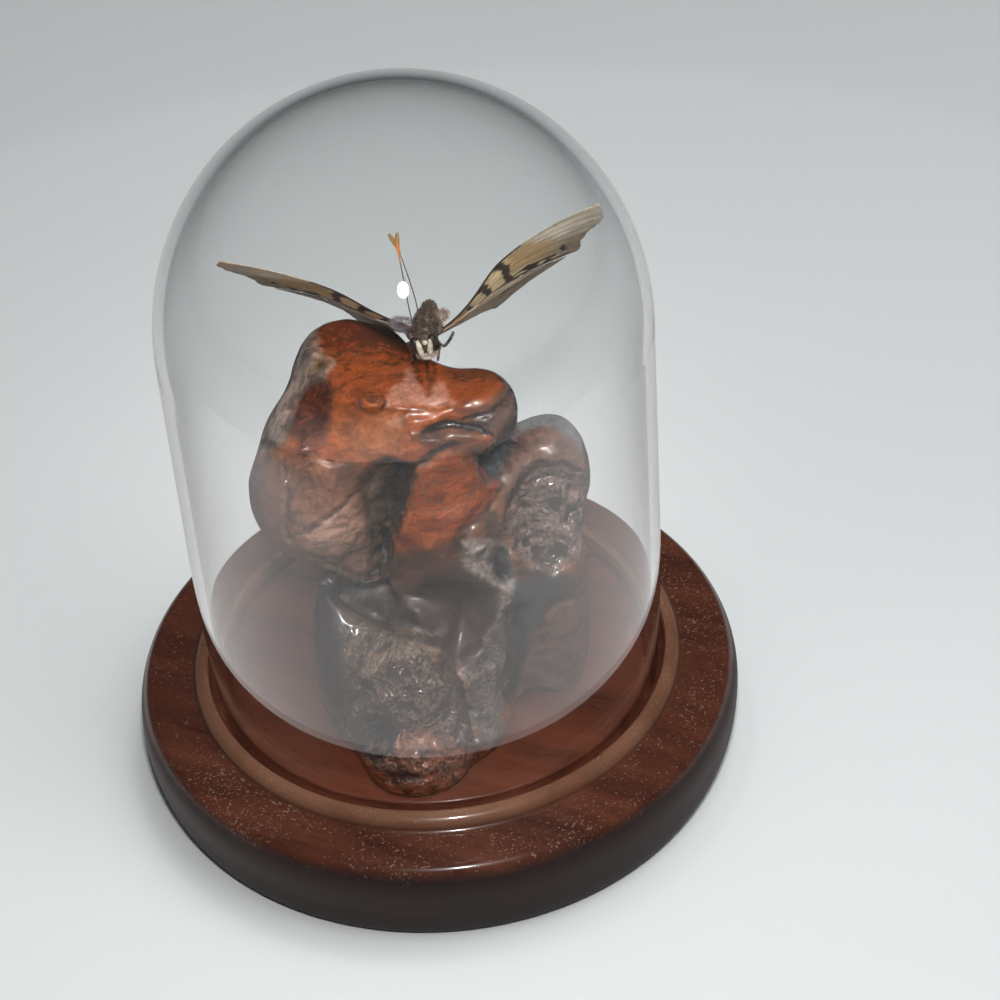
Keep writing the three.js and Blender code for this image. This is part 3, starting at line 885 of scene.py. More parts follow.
def areaReach(spots, outline):  # how far each spot is inside an outline, below 0 outside it
    closed = [*outline, outline[0]]
    gap, _ = lineReach(spots, closed)
    inside = np.zeros(len(spots), dtype=bool)
    for (ax, ay), (bx, by) in zip(closed, closed[1:]):
        if ay != by:
            crossing = (spots[:, 1] > min(ay, by)) & (spots[:, 1] <= max(ay, by))
            inside ^= crossing & (spots[:, 0] < ax + (spots[:, 1] - ay) * (bx - ax) / (by - ay))
    return np.where(inside, gap, -gap)


def strokeHeight(spots, width, depth, taper, *line):
    gap, share = lineReach(spots, line)
    ends = np.minimum(share, 1 - share)
    fade = smoothStep(ends, -0.01, taper) if taper else 1
    return depth * fade * np.exp(-(gap / width) ** 2)


def shapeBurl(form, setup):
    bm = bmesh.new()
    for lobe in form["backed"].values():
        addLobe(bm, *lobe)
    piece = newPiece("varnishedBurl", bm)
    remeshed(piece, form["coarse"])
    cutBehindRidge(piece.data, form["ridge"])
    bm = bmesh.new()
    bm.from_mesh(piece.data)
    for lobe in form["side"].values():
        addLobe(bm, *lobe)
    bm.to_mesh(piece.data)
    bm.free()
    remeshed(piece, form["coarse"], 1)
    fillCreases(piece, form["fill"], form["coarse"])
    remeshed(piece, form["coarse"] * 0.7, 6)
    places = vertexArray(piece.data)
    places += (fractalAt(places, 11.0) * 0.5)[:, None] * vertexArray(piece.data, "normal")
    rounding = 0.5
    over = places[:, 2] - form["top"]
    places[:, 2] = form["top"] - rounding * np.log1p(np.exp(-over / rounding))
    setVertices(piece.data, places)
    remeshed(piece, form["fine"], 3)
    spots, facing, sight = frontMap(piece.data, setup)
    spots = unsteady(spots, piece.data, 3.0)
    height = np.zeros(len(spots))
    for stroke in burlGrooves.values():
        height -= strokeHeight(spots, *stroke)
    for stroke in burlRidges.values():
        height += strokeHeight(spots, *stroke)
    for depth, slope, *outline in burlDips.values():
        height -= depth * smoothStep(areaReach(spots, outline), -slope * 0.3, slope)
    height *= smoothStep(facing, 0.0, 0.25)
    places = vertexArray(piece.data)
    blend = 0.5 * sight + 0.5 * vertexArray(piece.data, "normal")
    setVertices(piece.data, places + height[:, None] * blend)
    remeshed(piece, form["fine"], 1)
    places = vertexArray(piece.data)
    places[:, 2] = np.clip(places[:, 2], form["foot"], form["top"])
    setVertices(piece.data, places)
    thinRear(piece, setup, form["triangles"])
    return piece


def thinRear(piece, setup, triangles):  # fewer faces where the front view doesn't look
    _, facing, _ = frontMap(piece.data, setup)
    rear = piece.vertex_groups.new(name="rear")
    rear.add(np.flatnonzero(facing < -0.05).tolist(), 1.0, "REPLACE")
    thin = piece.modifiers.new("thin", "DECIMATE")
    thin.ratio = triangles / sum(len(face.vertices) - 2 for face in piece.data.polygons)
    thin.vertex_group = "rear"
    settle(piece)
    piece.vertex_groups.clear()


def unsteady(spots, mesh, reach):  # the front view's places with a natural waver
    places = vertexArray(mesh)
    waver = np.stack([fractalAt(places, 2.5), fractalAt(places, 2.5, shift=9.0)], axis=-1)
    ragged = np.stack([fractalAt(places, 0.8, 2), fractalAt(places, 0.8, 2, shift=6.0)], axis=-1)
    return spots + reach * (waver + 0.4 * ragged)


def paintBurl(piece, setup):  # colour, gloss, mottle, fibre and grit from the outlines
    mesh = piece.data
    spots, facing, _ = frontMap(mesh, setup)
    spots = unsteady(spots, mesh, 3.0)
    front = smoothStep(facing, -0.05, 0.2)
    places = vertexArray(mesh)
    patches = smoothStep(fractalAt(places, 9.0, shift=4.0), -0.3, 0.4)[:, None]
    colour = np.array(burlLook["backDark"]) * (1 - patches) + np.array(burlLook["backLight"]) * patches
    values = {
        "gloss": np.full(len(spots), 0.6),
        "mottle": np.full(len(spots), 0.6),
        "fibre": 0.5 * (1 - patches[:, 0]),
        "grit": np.zeros(len(spots)),
        "crack": np.zeros(len(spots)),
    }
    for edge, tone, shares, *outline in burlTones.values():  # the outlines, then the lines over them
        weight = front * smoothStep(areaReach(spots, outline), -edge, edge)
        colour += (np.array(tone) - colour) * weight[:, None]
        for key, share in zip(values, shares):
            values[key] += (share - values[key]) * weight
    for width, strength, *line in burlLines.values():
        gap, _ = lineReach(spots, line)
        weight = front * strength * smoothStep(-gap, -width, -0.3 * width)
        colour += (np.array(burlLook["deep"]) - colour) * weight[:, None]
    for key in values:
        setMask(mesh, key, values[key])
    setTint(mesh, colour)


def cavity(mesh, rounds):  # how hollow the surface is at each vertex, above 0 in a hollow
    places = vertexArray(mesh)
    normals = vertexArray(mesh, "normal")
    ends = np.empty(len(mesh.edges) * 2, dtype=np.int32)
    mesh.edges.foreach_get("vertices", ends)
    ends = ends.reshape(-1, 2)
    count = np.bincount(ends.ravel(), minlength=len(places))

    def spread(values):  # the mean of each vertex's neighbours
        first = np.bincount(ends[:, 0], values[ends[:, 1]], len(places))
        return (first + np.bincount(ends[:, 1], values[ends[:, 0]], len(places))) / count

    around = np.stack([spread(places[:, i]) for i in range(3)], axis=-1)
    lift = ((around - places) * normals).sum(1)
    for _ in range(rounds):
        lift = 0.5 * lift + 0.5 * spread(lift)
    return lift


def roughenBurl(piece, form):  # lumps in the gritty parts and shallow grain elsewhere
    mesh = piece.data
    places = vertexArray(mesh)
    grit = np.empty(len(mesh.vertices), dtype=np.float32)
    mesh.attributes["grit"].data.foreach_get("value", grit)
    lumps = np.abs(fractalAt(places, 3.2, shift=3.0)) * 1.6 - 0.4
    grain = fractalAt(places, 3.0, stretch=(3.0, 3.0, 0.8), shift=5.0)
    height = form["lumps"] * grit * lumps + form["grain"] * (1 - grit) * grain
    height *= smoothStep(form["top"] - places[:, 2], 0.0, 0.6)  # level at the top and at the foot
    height *= smoothStep(places[:, 2] - form["foot"], 0.0, 0.6)
    setVertices(mesh, places + height[:, None] * vertexArray(mesh, "normal"))


burl = shapeBurl(burlForm, cameraSetup)
paintBurl(burl, cameraSetup)
roughenBurl(burl, burlForm)
setMask(burl.data, "cavity", cavity(burl.data, 10) * 60)
print("burl shaped", len(burl.data.vertices), "vertices")


def makeBurlMaterial(look):
    material, tree, shader = newMaterial("burlVarnish")
    place = objectPlace(tree)
    warp = addNode(tree, "ShaderNodeTexNoise", {"Vector": place, "Scale": 110.0, "Detail": 3.0})
    warped = pushed(tree, place, warp.outputs["Color"], 0.008)
    grain = groupNode(
        tree, fibreGroup,
        {"Vector": warped, "Across": look["grainAcross"], "Fineness": 2000.0, "Length": 80.0},
    )
    fibres = groupNode(
        tree, fibreGroup,
        {"Vector": warped, "Across": look["fibreAcross"], "Fineness": 1250.0, "Length": 70.0},
    )
    fibreMask = mask(tree, "fibre")
    lines = addNode(tree, "ShaderNodeMix", {0: fibreMask, 2: grain["Lines"], 3: fibres["Lines"]}).outputs[0]
    mottleMask = mask(tree, "mottle")
    mottle = noiseAt(tree, mapped(tree, warped, scale=(0.7, 1, 1.4)), 330.0, 8.0, 0.68)
    dark = times(tree, span(tree, mottle, 0.54, 0.36), mottleMask)
    light = times(tree, span(tree, mottle, 0.50, 0.70), mottleMask)
    tint = painted(tree)
    strength = plus(tree, 1.1, times(tree, fibreMask, 2.4))
    swing = times(tree, minus(tree, lines, 0.5), strength)
    level = maths(tree, "MAXIMUM", plus(tree, 1.0, swing), 0.12)
    level = times(tree, level, minus(tree, 1.0, times(tree, dark, 0.85)))
    level = times(tree, level, plus(tree, 1.0, times(tree, light, 0.6)))
    fine = noiseAt(tree, place, 1700.0, 4.0, 0.7)
    level = times(tree, level, span(tree, fine, 0.36, 0.64, 0.80, 1.18))
    grit = mask(tree, "grit")
    crumbs = addNode(tree, "ShaderNodeTexVoronoi", {"Vector": place, "Scale": 1700.0}).outputs["Distance"]
    pits = times(tree, grit, span(tree, crumbs, 0.25, 0.7))
    level = times(tree, level, plus(tree, 0.75, times(tree, pits, 0.9)))
    webInputs = {"Vector": pushed(tree, place, warp.outputs["Color"], 0.006), "Scale": 170.0}
    web = addNode(tree, "ShaderNodeTexVoronoi", webInputs, feature="DISTANCE_TO_EDGE").outputs[0]
    broken = span(tree, noiseAt(tree, place, 160.0, 2.0), 0.44, 0.56)
    crack = times(tree, span(tree, web, 0.024, 0.004), broken)
    crack = times(tree, crack, mask(tree, "crack"))
    level = times(tree, level, minus(tree, 1.0, times(tree, crack, 0.7)))
    tone = mixed(tree, 1.0, tint, greyOf(tree, level), "MULTIPLY")
    # painted shade: the hollows are darkened towards near black
    hollow = mask(tree, "cavity")
    tone = mixed(tree, span(tree, hollow, 0.4, 1.8), tone, (*look["deep"], 1))
    gloss = mask(tree, "gloss")
    rough = plus(tree, span(tree, gloss, 0.2, 1.0, 0.50, 0.20), times(tree, dark, 0.08))
    rough = minus(tree, rough, times(tree, times(tree, grit, gloss), 0.1))
    lineRelief = times(tree, lines, plus(tree, 0.25, times(tree, fibreMask, 1.3)))
    relief = plus(tree, lineRelief, times(tree, mottle, 0.35))
    relief = plus(tree, relief, times(tree, pits, 2.2))
    relief = plus(tree, relief, times(tree, noiseAt(tree, place, 900.0, 6.0, 0.7), 0.5))
    relief = minus(tree, relief, times(tree, crack, 0.8))
    dress(
        tree, shader, BaseColor=tone, Roughness=rough, CoatWeight=gloss, CoatRoughness=0.12,
        SpecularIORLevel=0.4, Normal=bumped(tree, relief, 0.6, 0.0003),
    )
    return material


finishPiece(burl, "burl", [makeBurlMaterial(burlLook)])


# ---- wings ----
wingForm = {
    "span": 31.0,
    "pitch": 40.5,
    "thickness": 0.15,
    "sagReach": 11.0,
    "foldStart": 1.7,
    "foldSlope": (13.4 - 1.7) / 20.8,
    "hindwingLower": 0.26,
    "columns": 156,
    "rows": 76,
    "veinLift": 0.07,
    "ripple": 0.05,
    "ragged": 0.45,
}

wingSides = {
    "Left": {
        "root": (0.8, 1, 81.1), "tip": (-27.4, 7.5, 92.9), "arch": 2.0, "archPeak": 0.92, "sag": 1.8,
        "hindLift": 0.22, "rootDrop": -1.1, "rootSlope": -0.07, "rootReach": 13,
    },
    "Right": {
        "root": (5.6, 1, 84.1), "tip": (30.8, 8.5, 97.4), "arch": 1.6, "archPeak": 1.27, "sag": 5.4,
        "hindLift": 0.33, "rootDrop": 1.6, "rootSlope": -0.03, "rootReach": 13,
    },
}

forewingOutline = {
    "root": ((-2.4, 0.5), (-2.4, 1.9)),
    "margin": ((31.0, 0), (31.2, 3.5), (30.0, 5.9), (27.0, 7.8), (25.2, 11.2), (24.9, 14.0), (24.1, 16.4)),
    "bulges": (-1.2, -2.8),
}

hindwingOutline = {
    "root": ((-2.0, 1.4), (-1.8, 3.2)),
    "margin": (
        (20.8, 13.4), (22.0, 15.2), (20.2, 17.2), (20.3, 19.4), (17.2, 20.8), (16.8, 23.6), (13.6, 23.0),
        (11.0, 25.0), (7.0, 23.8),
    ),
    "bulges": (-2.4, -2.4),
}

# veins as share of the wing's depth at the root, at the end of the cell and at the margin
foreVeins = ((0.0, 0.0, 0.0), (0.10, 0.06, 0.05), (0.18, 0.17, 0.15), (0.2, 0.28, 0.27), (0.22, 0.38, 0.39),
             (0.6, 0.50, 0.52), (0.65, 0.62, 0.66), (0.7, 0.74, 0.80), (0.95, 0.95, 0.97))
hindVeins = ((0.03, 0.03, 0.02), (0.2, 0.16, 0.13), (0.25, 0.28, 0.26), (0.3, 0.40, 0.40), (0.6, 0.55, 0.56),
             (0.65, 0.68, 0.72), (0.8, 0.84, 0.88))

# colours of the wings; patches and marks lie at shares of the wing's length and depth: a patch has
# the softness of its edge, its colour and its outline, and a dark mark has its width and its line
foreLook = {
    "ground": (0.36, 0.29, 0.20),
    "patches": {
        "golden": (0.8, (0.34, 0.23, 0.11), (-0.1, -0.1), (0.2, -0.1), (0.17, 1.1), (-0.1, 1.1)),
        "cells": (0.6, (0.52, 0.43, 0.28), (0.19, 0.08), (0.5, 0.1), (0.53, 0.85), (0.22, 0.95)),
        "middle": (
            1.2, (0.4, 0.285, 0.15), (0.5, 0.12), (0.72, 0.18), (0.84, 0.55), (0.8, 1.1), (0.53, 1.1),
        ),
        "outer": (
            1.4, (0.5, 0.46, 0.41), (0.55, -0.1), (1.1, -0.1), (1.1, 0.5), (0.82, 0.42), (0.66, 0.2),
        ),
        "outerLow": (1.4, (0.33, 0.265, 0.2), (0.84, 0.45), (1.1, 0.5), (1.1, 1.1), (0.8, 1.1)),
        "costaBase": (
            0.3, (0.045, 0.027, 0.016), (-0.1, -0.1), (0.52, -0.1), (0.46, 0.05), (0.3, 0.13),
            (0.15, 0.24), (-0.1, 0.42),
        ),
        "creamRear": (0.5, (0.6, 0.52, 0.37), (0.53, 0.74), (0.65, 0.68), (0.64, 0.94), (0.55, 0.96)),
        "creamEnd": (
            0.6, (0.56, 0.49, 0.37), (0.7, 0.84), (0.78, 0.76), (0.86, 0.84), (0.84, 0.96), (0.76, 0.96),
        ),
        "whiteBar": (0.8, (0.6, 0.57, 0.53), (0.66, 0.1), (0.8, 0.16), (0.84, 0.4), (0.76, 0.34)),
    },
    "marks": {
        "costa": (0.2, (0.4, 0.0), (0.52, 0.0), (0.58, 0.0)),
        "barOne": (0.5, (0.21, 0.3), (0.24, 0.66), (0.275, 1.02)),
        "barTwo": (0.74, (0.305, 0.18), (0.34, 0.42), (0.385, 0.62), (0.39, 0.86)),
        "barThree": (0.8, (0.425, 0.14), (0.47, 0.33), (0.52, 0.55), (0.53, 0.78), (0.545, 1.0)),
        "lowSpot": (0.7, (0.405, 0.98), (0.42, 1.0)),
        "trail": (0.7, (0.36, 1.0), (0.62, 0.985), (0.92, 1.0)),
        "trailTwo": (0.36, (0.55, 0.84), (0.63, 0.8), (0.74, 0.78), (0.83, 0.8)),
        "midSpot": (0.85, (0.655, 0.8), (0.7, 0.84)),
        "outerSpot": (0.55, (0.885, 0.63), (0.895, 0.7)),
        "rearSpot": (0.8, (0.79, 0.9), (0.8, 0.96)),
    },
    "dark": (0.022, 0.012, 0.008),
    "veins": foreVeins,
    "veinShade": 0.42,
    "cellEnd": 0.46,
}

hindLook = {
    "ground": (0.46, 0.43, 0.39),
    "patches": {
        "rootFold": (1.2, (0.42, 0.32, 0.26), (-0.1, -0.1), (0.25, -0.1), (0.28, 1.1), (-0.1, 1.1)),
        "outerBand": (1.5, (0.4, 0.36, 0.34), (0.82, -0.1), (1.1, -0.1), (1.1, 1.1), (0.78, 1.1)),
    },
    "marks": {
        "frontStreak": (0.3, (0.35, 0.0), (0.7, 0.01), (0.95, 0.0)),
        "ring": (0.45, (0.6, 0.42), (0.63, 0.46), (0.61, 0.52)),
        "spot": (0.6, (0.72, 0.7), (0.74, 0.74)),
    },
    "dark": (0.085, 0.060, 0.055),
    "veins": hindVeins,
    "veinShade": 0.35,
    "cellEnd": 0.42,
}

sideLighting = {"Left": (1.24, 1.08, 0.92), "Right": (1.30, 1.22, 1.08)}  # painted light and shade: the same wing colours, the right pair lighter where light shines through, the left pair darker and browner


def along(line, shares):  # points at even shares of a bent line's corners
    corners = np.array(line, dtype=float)
    steps = np.linspace(0, 1, len(corners))
    return np.stack([np.interp(shares, steps, corners[:, i]) for i in (0, 1)], axis=-1)


def veinLines(u, v, look):  # 1 on a vein, 0 between
    shade = np.zeros(len(u))
    for start, middle, end in look["veins"]:
        place = np.interp(u, [0, look["cellEnd"], 1], [start, middle, end])
        shade = np.maximum(shade, np.exp(-(((v - place) * (0.25 + u) * 14) / 0.17) ** 2))
    return shade


def flatPlaces(x, y, level):
    return np.stack([x, y, np.full(len(x), level)], axis=-1)


def layWing(u, v, outline, side, form, hind, lift):
    root = np.array(side["root"])
    out = (np.array(side["tip"]) - root) / form["span"]
    heading = out / np.linalg.norm(out)
    pitch = math.radians(form["pitch"])
    back = np.array((0, math.cos(pitch), -math.sin(pitch)))
    back = back - heading * (back @ heading)
    back /= np.linalg.norm(back)
    up = np.cross(heading, back)
    up = up if up[2] > 0 else -up
    fray = np.abs(fractalAt(flatPlaces(v * 9.0, u * 11.0, root[0]), 1.0, 3)) * form["ragged"]
    inner = along(outline["root"], v)
    outer = along(outline["margin"], v)
    outer = outer - fray[:, None] * np.array((1.0, 0.0))
    s = inner[:, 0] + (outer[:, 0] - inner[:, 0]) * u
    bulge = outline["bulges"][0] * (1 - v) + outline["bulges"][1] * v
    c = inner[:, 1] + (outer[:, 1] - inner[:, 1]) * u + np.sin(np.pi * np.clip(u, 0, 1)) * bulge
    c -= fray * v ** 10 * (1.4 if hind else 0.6)
    reach = np.clip(s / form["span"], 0, 1) ** side["archPeak"]
    sagged = 1 - np.exp(-np.maximum(c, 0) / form["sagReach"])
    height = side["arch"] * np.sin(np.pi * reach) - side["sag"] * sagged
    if hind:
        fold = np.maximum(c - form["foldStart"] - form["foldSlope"] * s, 0)
        height += side["hindLift"] * fold * (1.6 - 1.25 * u)
    away = smoothStep(s, 0, side["rootReach"])
    height = height * away + (side["rootSlope"] * c - side["rootDrop"]) * (1 - away)
    if hind:
        height -= form["hindwingLower"]
    places = root + out * s[:, None] + back * c[:, None] + up * (height + lift)[:, None]
    return places, up


def paintWing(wing, u, v, look, tint):
    long, deep = 31.0, 10.0  # the wing laid flat, in mm
    scale = np.array((long, deep))
    grainPlaces = flatPlaces(u * 6.0, v * 22.0, 0.0)
    speckle = fractalAt(flatPlaces(u * long, v * 12.0, 3.0), 1.1, 4)
    waver = fractalAt(flatPlaces(u * long, v * deep, 8.0), 1.6, 3)
    spots = np.stack([u * long, v * deep], axis=-1) + 0.35 * np.stack([waver, -waver], axis=-1)
    colour = np.tile(np.array(look["ground"]), (len(u), 1))
    for edge, tone, *outline in look["patches"].values():
        weight = smoothStep(areaReach(spots, np.array(outline) * scale), -edge, edge)
        colour += (np.array(tone) - colour) * weight[:, None]
    colour *= np.array(tint)
    colour *= (1 + 0.22 * fractalAt(grainPlaces, 1.0, 4) + 0.16 * speckle)[:, None]
    veins = veinLines(u, v, look)
    colour *= (1 - look["veinShade"] * veins)[:, None]
    for width, *line in look["marks"].values():
        gap, _ = lineReach(spots, np.array(line) * scale)
        weight = smoothStep(-gap, -width * 1.35, -width * 0.65)
        colour += (np.array(look["dark"]) - colour) * weight[:, None] * 0.96
    setTint(wing.data, np.clip(colour, 0.004, 1))


def makeWing(name, outline, side, form, look, tint, hind):
    bm = bmesh.new()
    bmesh.ops.create_grid(bm, x_segments=form["columns"], y_segments=form["rows"], size=0.5)
    bmesh.ops.translate(bm, verts=bm.verts, vec=(0.5, 0.5, 0))
    wing = newPiece(name, bm)
    flat = vertexArray(wing.data)
    u, v = flat[:, 0].copy(), flat[:, 1].copy()
    ripple = fractalAt(flatPlaces(u * 4, v * 9, side["root"][0]), 1.0, 3) * form["ripple"]
    lift = form["veinLift"] * veinLines(u, v, look) + ripple
    places, up = layWing(u, v, outline, side, form, hind, lift)
    setVertices(wing.data, places)
    paintWing(wing, u, v, look, tint)
    addUv(wing.data, u, v)
    wall = wing.modifiers.new("wall", "SOLIDIFY")
    wall.thickness = form["thickness"]
    wall.offset = 0
    settle(wing)
    bm = bmesh.new()
    bm.from_mesh(wing.data)
    bmesh.ops.recalc_face_normals(bm, faces=bm.faces)
    for face in bm.faces:
        face.material_index = 1 if face.normal.dot(Vector(up)) > 0.5 else 0
    bm.to_mesh(wing.data)
    bm.free()
    return wing


def addUv(mesh, u, v):
    layer = mesh.uv_layers.new(name="wing")
    corners = np.empty(len(mesh.loops), dtype=np.int32)
    mesh.loops.foreach_get("vertex_index", corners)
    layer.data.foreach_set("uv", np.stack([u[corners], v[corners]], axis=-1).astype(np.float32).ravel())


def makeWingMaterial(name, warmth):  # fine rows of scales over the painted ground
    material, tree, shader = newMaterial(name)
    tint = painted(tree)
    flat = addNode(tree, "ShaderNodeUVMap", uv_map="wing").outputs["UV"]
    rows = noiseAt(tree, mapped(tree, flat, scale=(60, 420, 1)), 1.0, 3.0, 0.6)
    scales = noiseAt(tree, mapped(tree, flat, scale=(310, 120, 1)), 1.0, 2.0, 0.5)
    coarse = span(tree, rows, 0.3, 0.7, 0.72, 1.22)
    level = plus(tree, coarse, span(tree, scales, 0.35, 0.65, -0.1, 0.12))
    warm = mixed(tree, 1.0, tint, (*warmth, 1), "MULTIPLY")
    tone = mixed(tree, 1.0, warm, greyOf(tree, level), "MULTIPLY")
    dress(
        tree, shader, BaseColor=tone, Roughness=0.62, SheenWeight=0.06, SpecularIORLevel=0.2,
        Normal=bumped(tree, rows, 0.35, 0.00008),
    )
    return material


underside = makeWingMaterial("wingUnderside", (1.0, 1.0, 1.0))
foreMaterials = [underside, makeWingMaterial("forewingUpperside", (1.12, 0.78, 0.48))]
hindMaterials = [underside, makeWingMaterial("hindwingUpperside", (1.05, 0.93, 0.80))]
for sideName, side in wingSides.items():
    tint = sideLighting[sideName]
    fore = makeWing("forewing" + sideName, forewingOutline, side, wingForm, foreLook, tint, False)
    finishPiece(fore, "forewing_" + sideName.lower(), foreMaterials)
    hindwing = makeWing("hindwing" + sideName, hindwingOutline, side, wingForm, hindLook, tint, True)
    finishPiece(hindwing, "hindwing_" + sideName.lower(), hindMaterials)


# ---- body, legs and antennae ----
bodyForm = {  # lobes have their place, size and turn, and legs their radius and line
    "lobes": {
        "head": ((2.95, -3.6, 82.7), (1.45, 1.35, 1.6)),
        "thorax": ((3.3, 0.4, 82.8), (1.8, 3.7, 2.6), (-12, 0, 0)),
        "abdomen": ((3.8, 6.4, 80.5), (1.4, 6.2, 1.6), (-20, 0, 0)),
        "leftWingRoot": ((1.6, 0.7, 81.3), (1.6, 1.8, 0.9), (0, 22, 0)),
        "rightWingRoot": ((4.7, 0.6, 82.3), (1.3, 1.9, 0.8), (0, -26, 0)),
    },
    "eyes": {
        "left": ((1.35, -4.05, 82.75), (0.78, 1.0, 1.5), (0, 8, 12)),
        "right": ((4.3, -4.05, 83.15), (0.82, 1.0, 1.5), (0, -10, -12)),
    },
    "palps": {
        "left": ((2.2, -5.0, 82.7), (0.46, 0.6, 1.5), (-28, -15, 0)),
        "right": ((3.75, -5.0, 82.95), (0.44, 0.6, 1.45), (-28, 5, 0)),
        "face": ((3.0, -4.85, 83.75), (0.42, 0.32, 0.36)),
        "chin": ((3.1, -5.1, 81.2), (0.75, 0.42, 0.38)),
    },
    "legs": {
        "midRight": (0.22, (4.2, -1.2, 80.9), (5.2, -3.2, 82.3), (4.7, -4.0, 79.6)),
        "midLeft": (0.17, (2.2, -0.8, 80.9), (0.3, -1.4, 81.4), (0.6, -0.9, 79.6)),
        "foreLeft": (0.2, (2.0, -2.2, 81.2), (0.8, -3.4, 81.7), (0.9, -3.9, 79.7)),
        "strayRight": (0.26, (4.6, -0.8, 81.0), (5.7, -2.5, 81.2), (6.6, -2.9, 82.3), (7.4, -3.0, 84.0)),
    },
    "joints": 9,
    "voxel": 0.14,
}

# hairs grow from a soft mound: where it is, how many, how long, and which way they lean
hairForm = {
    "thorax": {
        "at": (3.3, 0.3, 82.85), "size": (1.8, 3.75, 2.62), "turn": (-12, 0, 0), "count": 2900,
        "length": (0.2, 0.5), "radius": 0.045, "lean": (0, 0.1, 0.35), "colour": "thoraxHair",
    },
    "head": {
        "at": (2.95, -3.5, 82.9), "size": (1.4, 1.3, 1.6), "turn": (0, 0, 0), "count": 1000,
        "length": (0.2, 0.45), "radius": 0.04, "lean": (0, -0.2, 0.5), "colour": "headHair",
    },
    "abdomen": {
        "at": (3.8, 6.6, 80.4), "size": (1.4, 6.1, 1.6), "turn": (-20, 0, 0), "count": 1500,
        "length": (0.2, 0.5), "radius": 0.045, "lean": (0, 0.9, -0.2), "colour": "thoraxHair",
    },
    "rightTuft": {
        "at": (5.2, 1.5, 83.3), "size": (1.7, 1.4, 0.35), "turn": (0, -38, 0), "count": 1000,
        "length": (0.3, 1.0), "radius": 0.02, "lean": (0.9, 0.2, 0.7), "colour": "paleHair",
    },
    "leftTuft": {
        "at": (0.6, 1.7, 82.2), "size": (2.7, 1.6, 0.5), "turn": (0, 24, 0), "count": 1300,
        "length": (0.3, 0.9), "radius": 0.022, "lean": (-0.9, 0.4, 0.8), "colour": "greyHair",
    },
    "cheek": {
        "at": (3.1, -4.0, 81.4), "size": (1.6, 0.95, 0.9), "turn": (0, 0, 0), "count": 520,
        "length": (0.2, 0.55), "radius": 0.045, "lean": (0, -0.5, -0.6), "colour": "paleHair",
    },
}

hairColours = {
    "thoraxHair": ((0.045, 0.030, 0.021), (0.115, 0.082, 0.060)),
    "headHair": ((0.085, 0.048, 0.030), (0.16, 0.10, 0.065)),
    "paleHair": ((0.20, 0.13, 0.09), (0.45, 0.33, 0.25)),
    "greyHair": ((0.10, 0.085, 0.085), (0.24, 0.21, 0.22)),
}

antennaForm = {
    "paths": {
        "Left": (
            (1.7, -4.6, 84.0), (1.4, -4.3, 87.6), (1.1, -4.0, 90.3), (0.8, -3.2, 93.8), (0.4, -2.2, 97.6),
            (0.3, -1.2, 100.1), (0.45, -0.9, 101.2),
        ),
        "Right": (
            (2.5, -4.4, 84.0), (2.4, -3.2, 88.1), (2.0, -2.3, 91.0), (1.1, -1.5, 95.1), (0.3, -0.8, 98.1),
            (-0.9, -0.2, 100.6),
        ),
    },
    "radius": 0.095,
    "clubRadius": 0.33,
    "clubLength": 4.2,
    "rings": 30,
    "steps": 150,
}


def makeTube(name, points, radii):  # a rod through points, with a radius at each
    curve = bpy.data.curves.new(name, "CURVE")
    curve.dimensions = "3D"
    curve.bevel_depth = 1
    curve.bevel_resolution = 2
    curve.use_fill_caps = True
    spline = curve.splines.new("POLY")
    spline.points.add(len(points) - 1)
    for point, place, radius in zip(spline.points, points, radii):
        point.co = (*place, 1)
        point.radius = radius
    return curveMesh(name, curve)


def curveMesh(name, curve):
    holder = bpy.data.objects.new(name, curve)
    bpy.context.scene.collection.objects.link(holder)
    mesh = bpy.data.meshes.new_from_object(holder.evaluated_get(bpy.context.evaluated_depsgraph_get()))
    bpy.data.objects.remove(holder)
    bpy.data.curves.remove(curve)
    mesh.name = name
    return mesh


def bentPath(corners, steps):  # a smooth line through its corners
    ends = [Vector(corners[0]), *(Vector(c) for c in corners), Vector(corners[-1])]
    path = []
    for i in range(steps + 1):
        place = min(i / steps * (len(corners) - 1), len(corners) - 1 - 1e-6)
        k = int(place)
        t = place - k
        a, b, c, d = ends[k:k + 4]
        ahead = 2 * b + (c - a) * t + (2 * a - 5 * b + 4 * c - d) * t * t
        path.append(0.5 * (ahead + (3 * b - a - 3 * c + d) * t ** 3))
    return path


def fromMesh(name, mesh):
    piece = bpy.data.objects.new(name, mesh)
    bpy.context.scene.collection.objects.link(piece)
    return piece


def makeAntenna(name, corners, form):
    path = bentPath(corners, form["steps"])
    lengths = [0.0]
    for a, b in zip(path, path[1:]):
        lengths.append(lengths[-1] + (b - a).length)
    total = lengths[-1]
    radii = []
    for length in lengths:
        left = (total - length) / form["clubLength"]
        club = math.sin(math.pi * min(left, 1) ** 0.55) ** 0.8 if 0 < left < 1 else 0
        ring = 1 + 0.10 * math.sin(length / total * form["rings"] * math.tau)
        radii.append(max(form["radius"] * (1 - 0.2 * length / total) * ring, form["clubRadius"] * club))
    radii[-1] = 0.05
    piece = fromMesh(name, makeTube(name, path, radii))
    near = -np.linalg.norm(vertexArray(piece.data) - np.array(path[-1]), axis=1)
    for mark, start, full in (("club", 1.25, 0.8), ("tip", 0.55, 0.2)):
        setMask(piece.data, mark, smoothStep(near, -form["clubLength"] * start, -form["clubLength"] * full))
    return piece


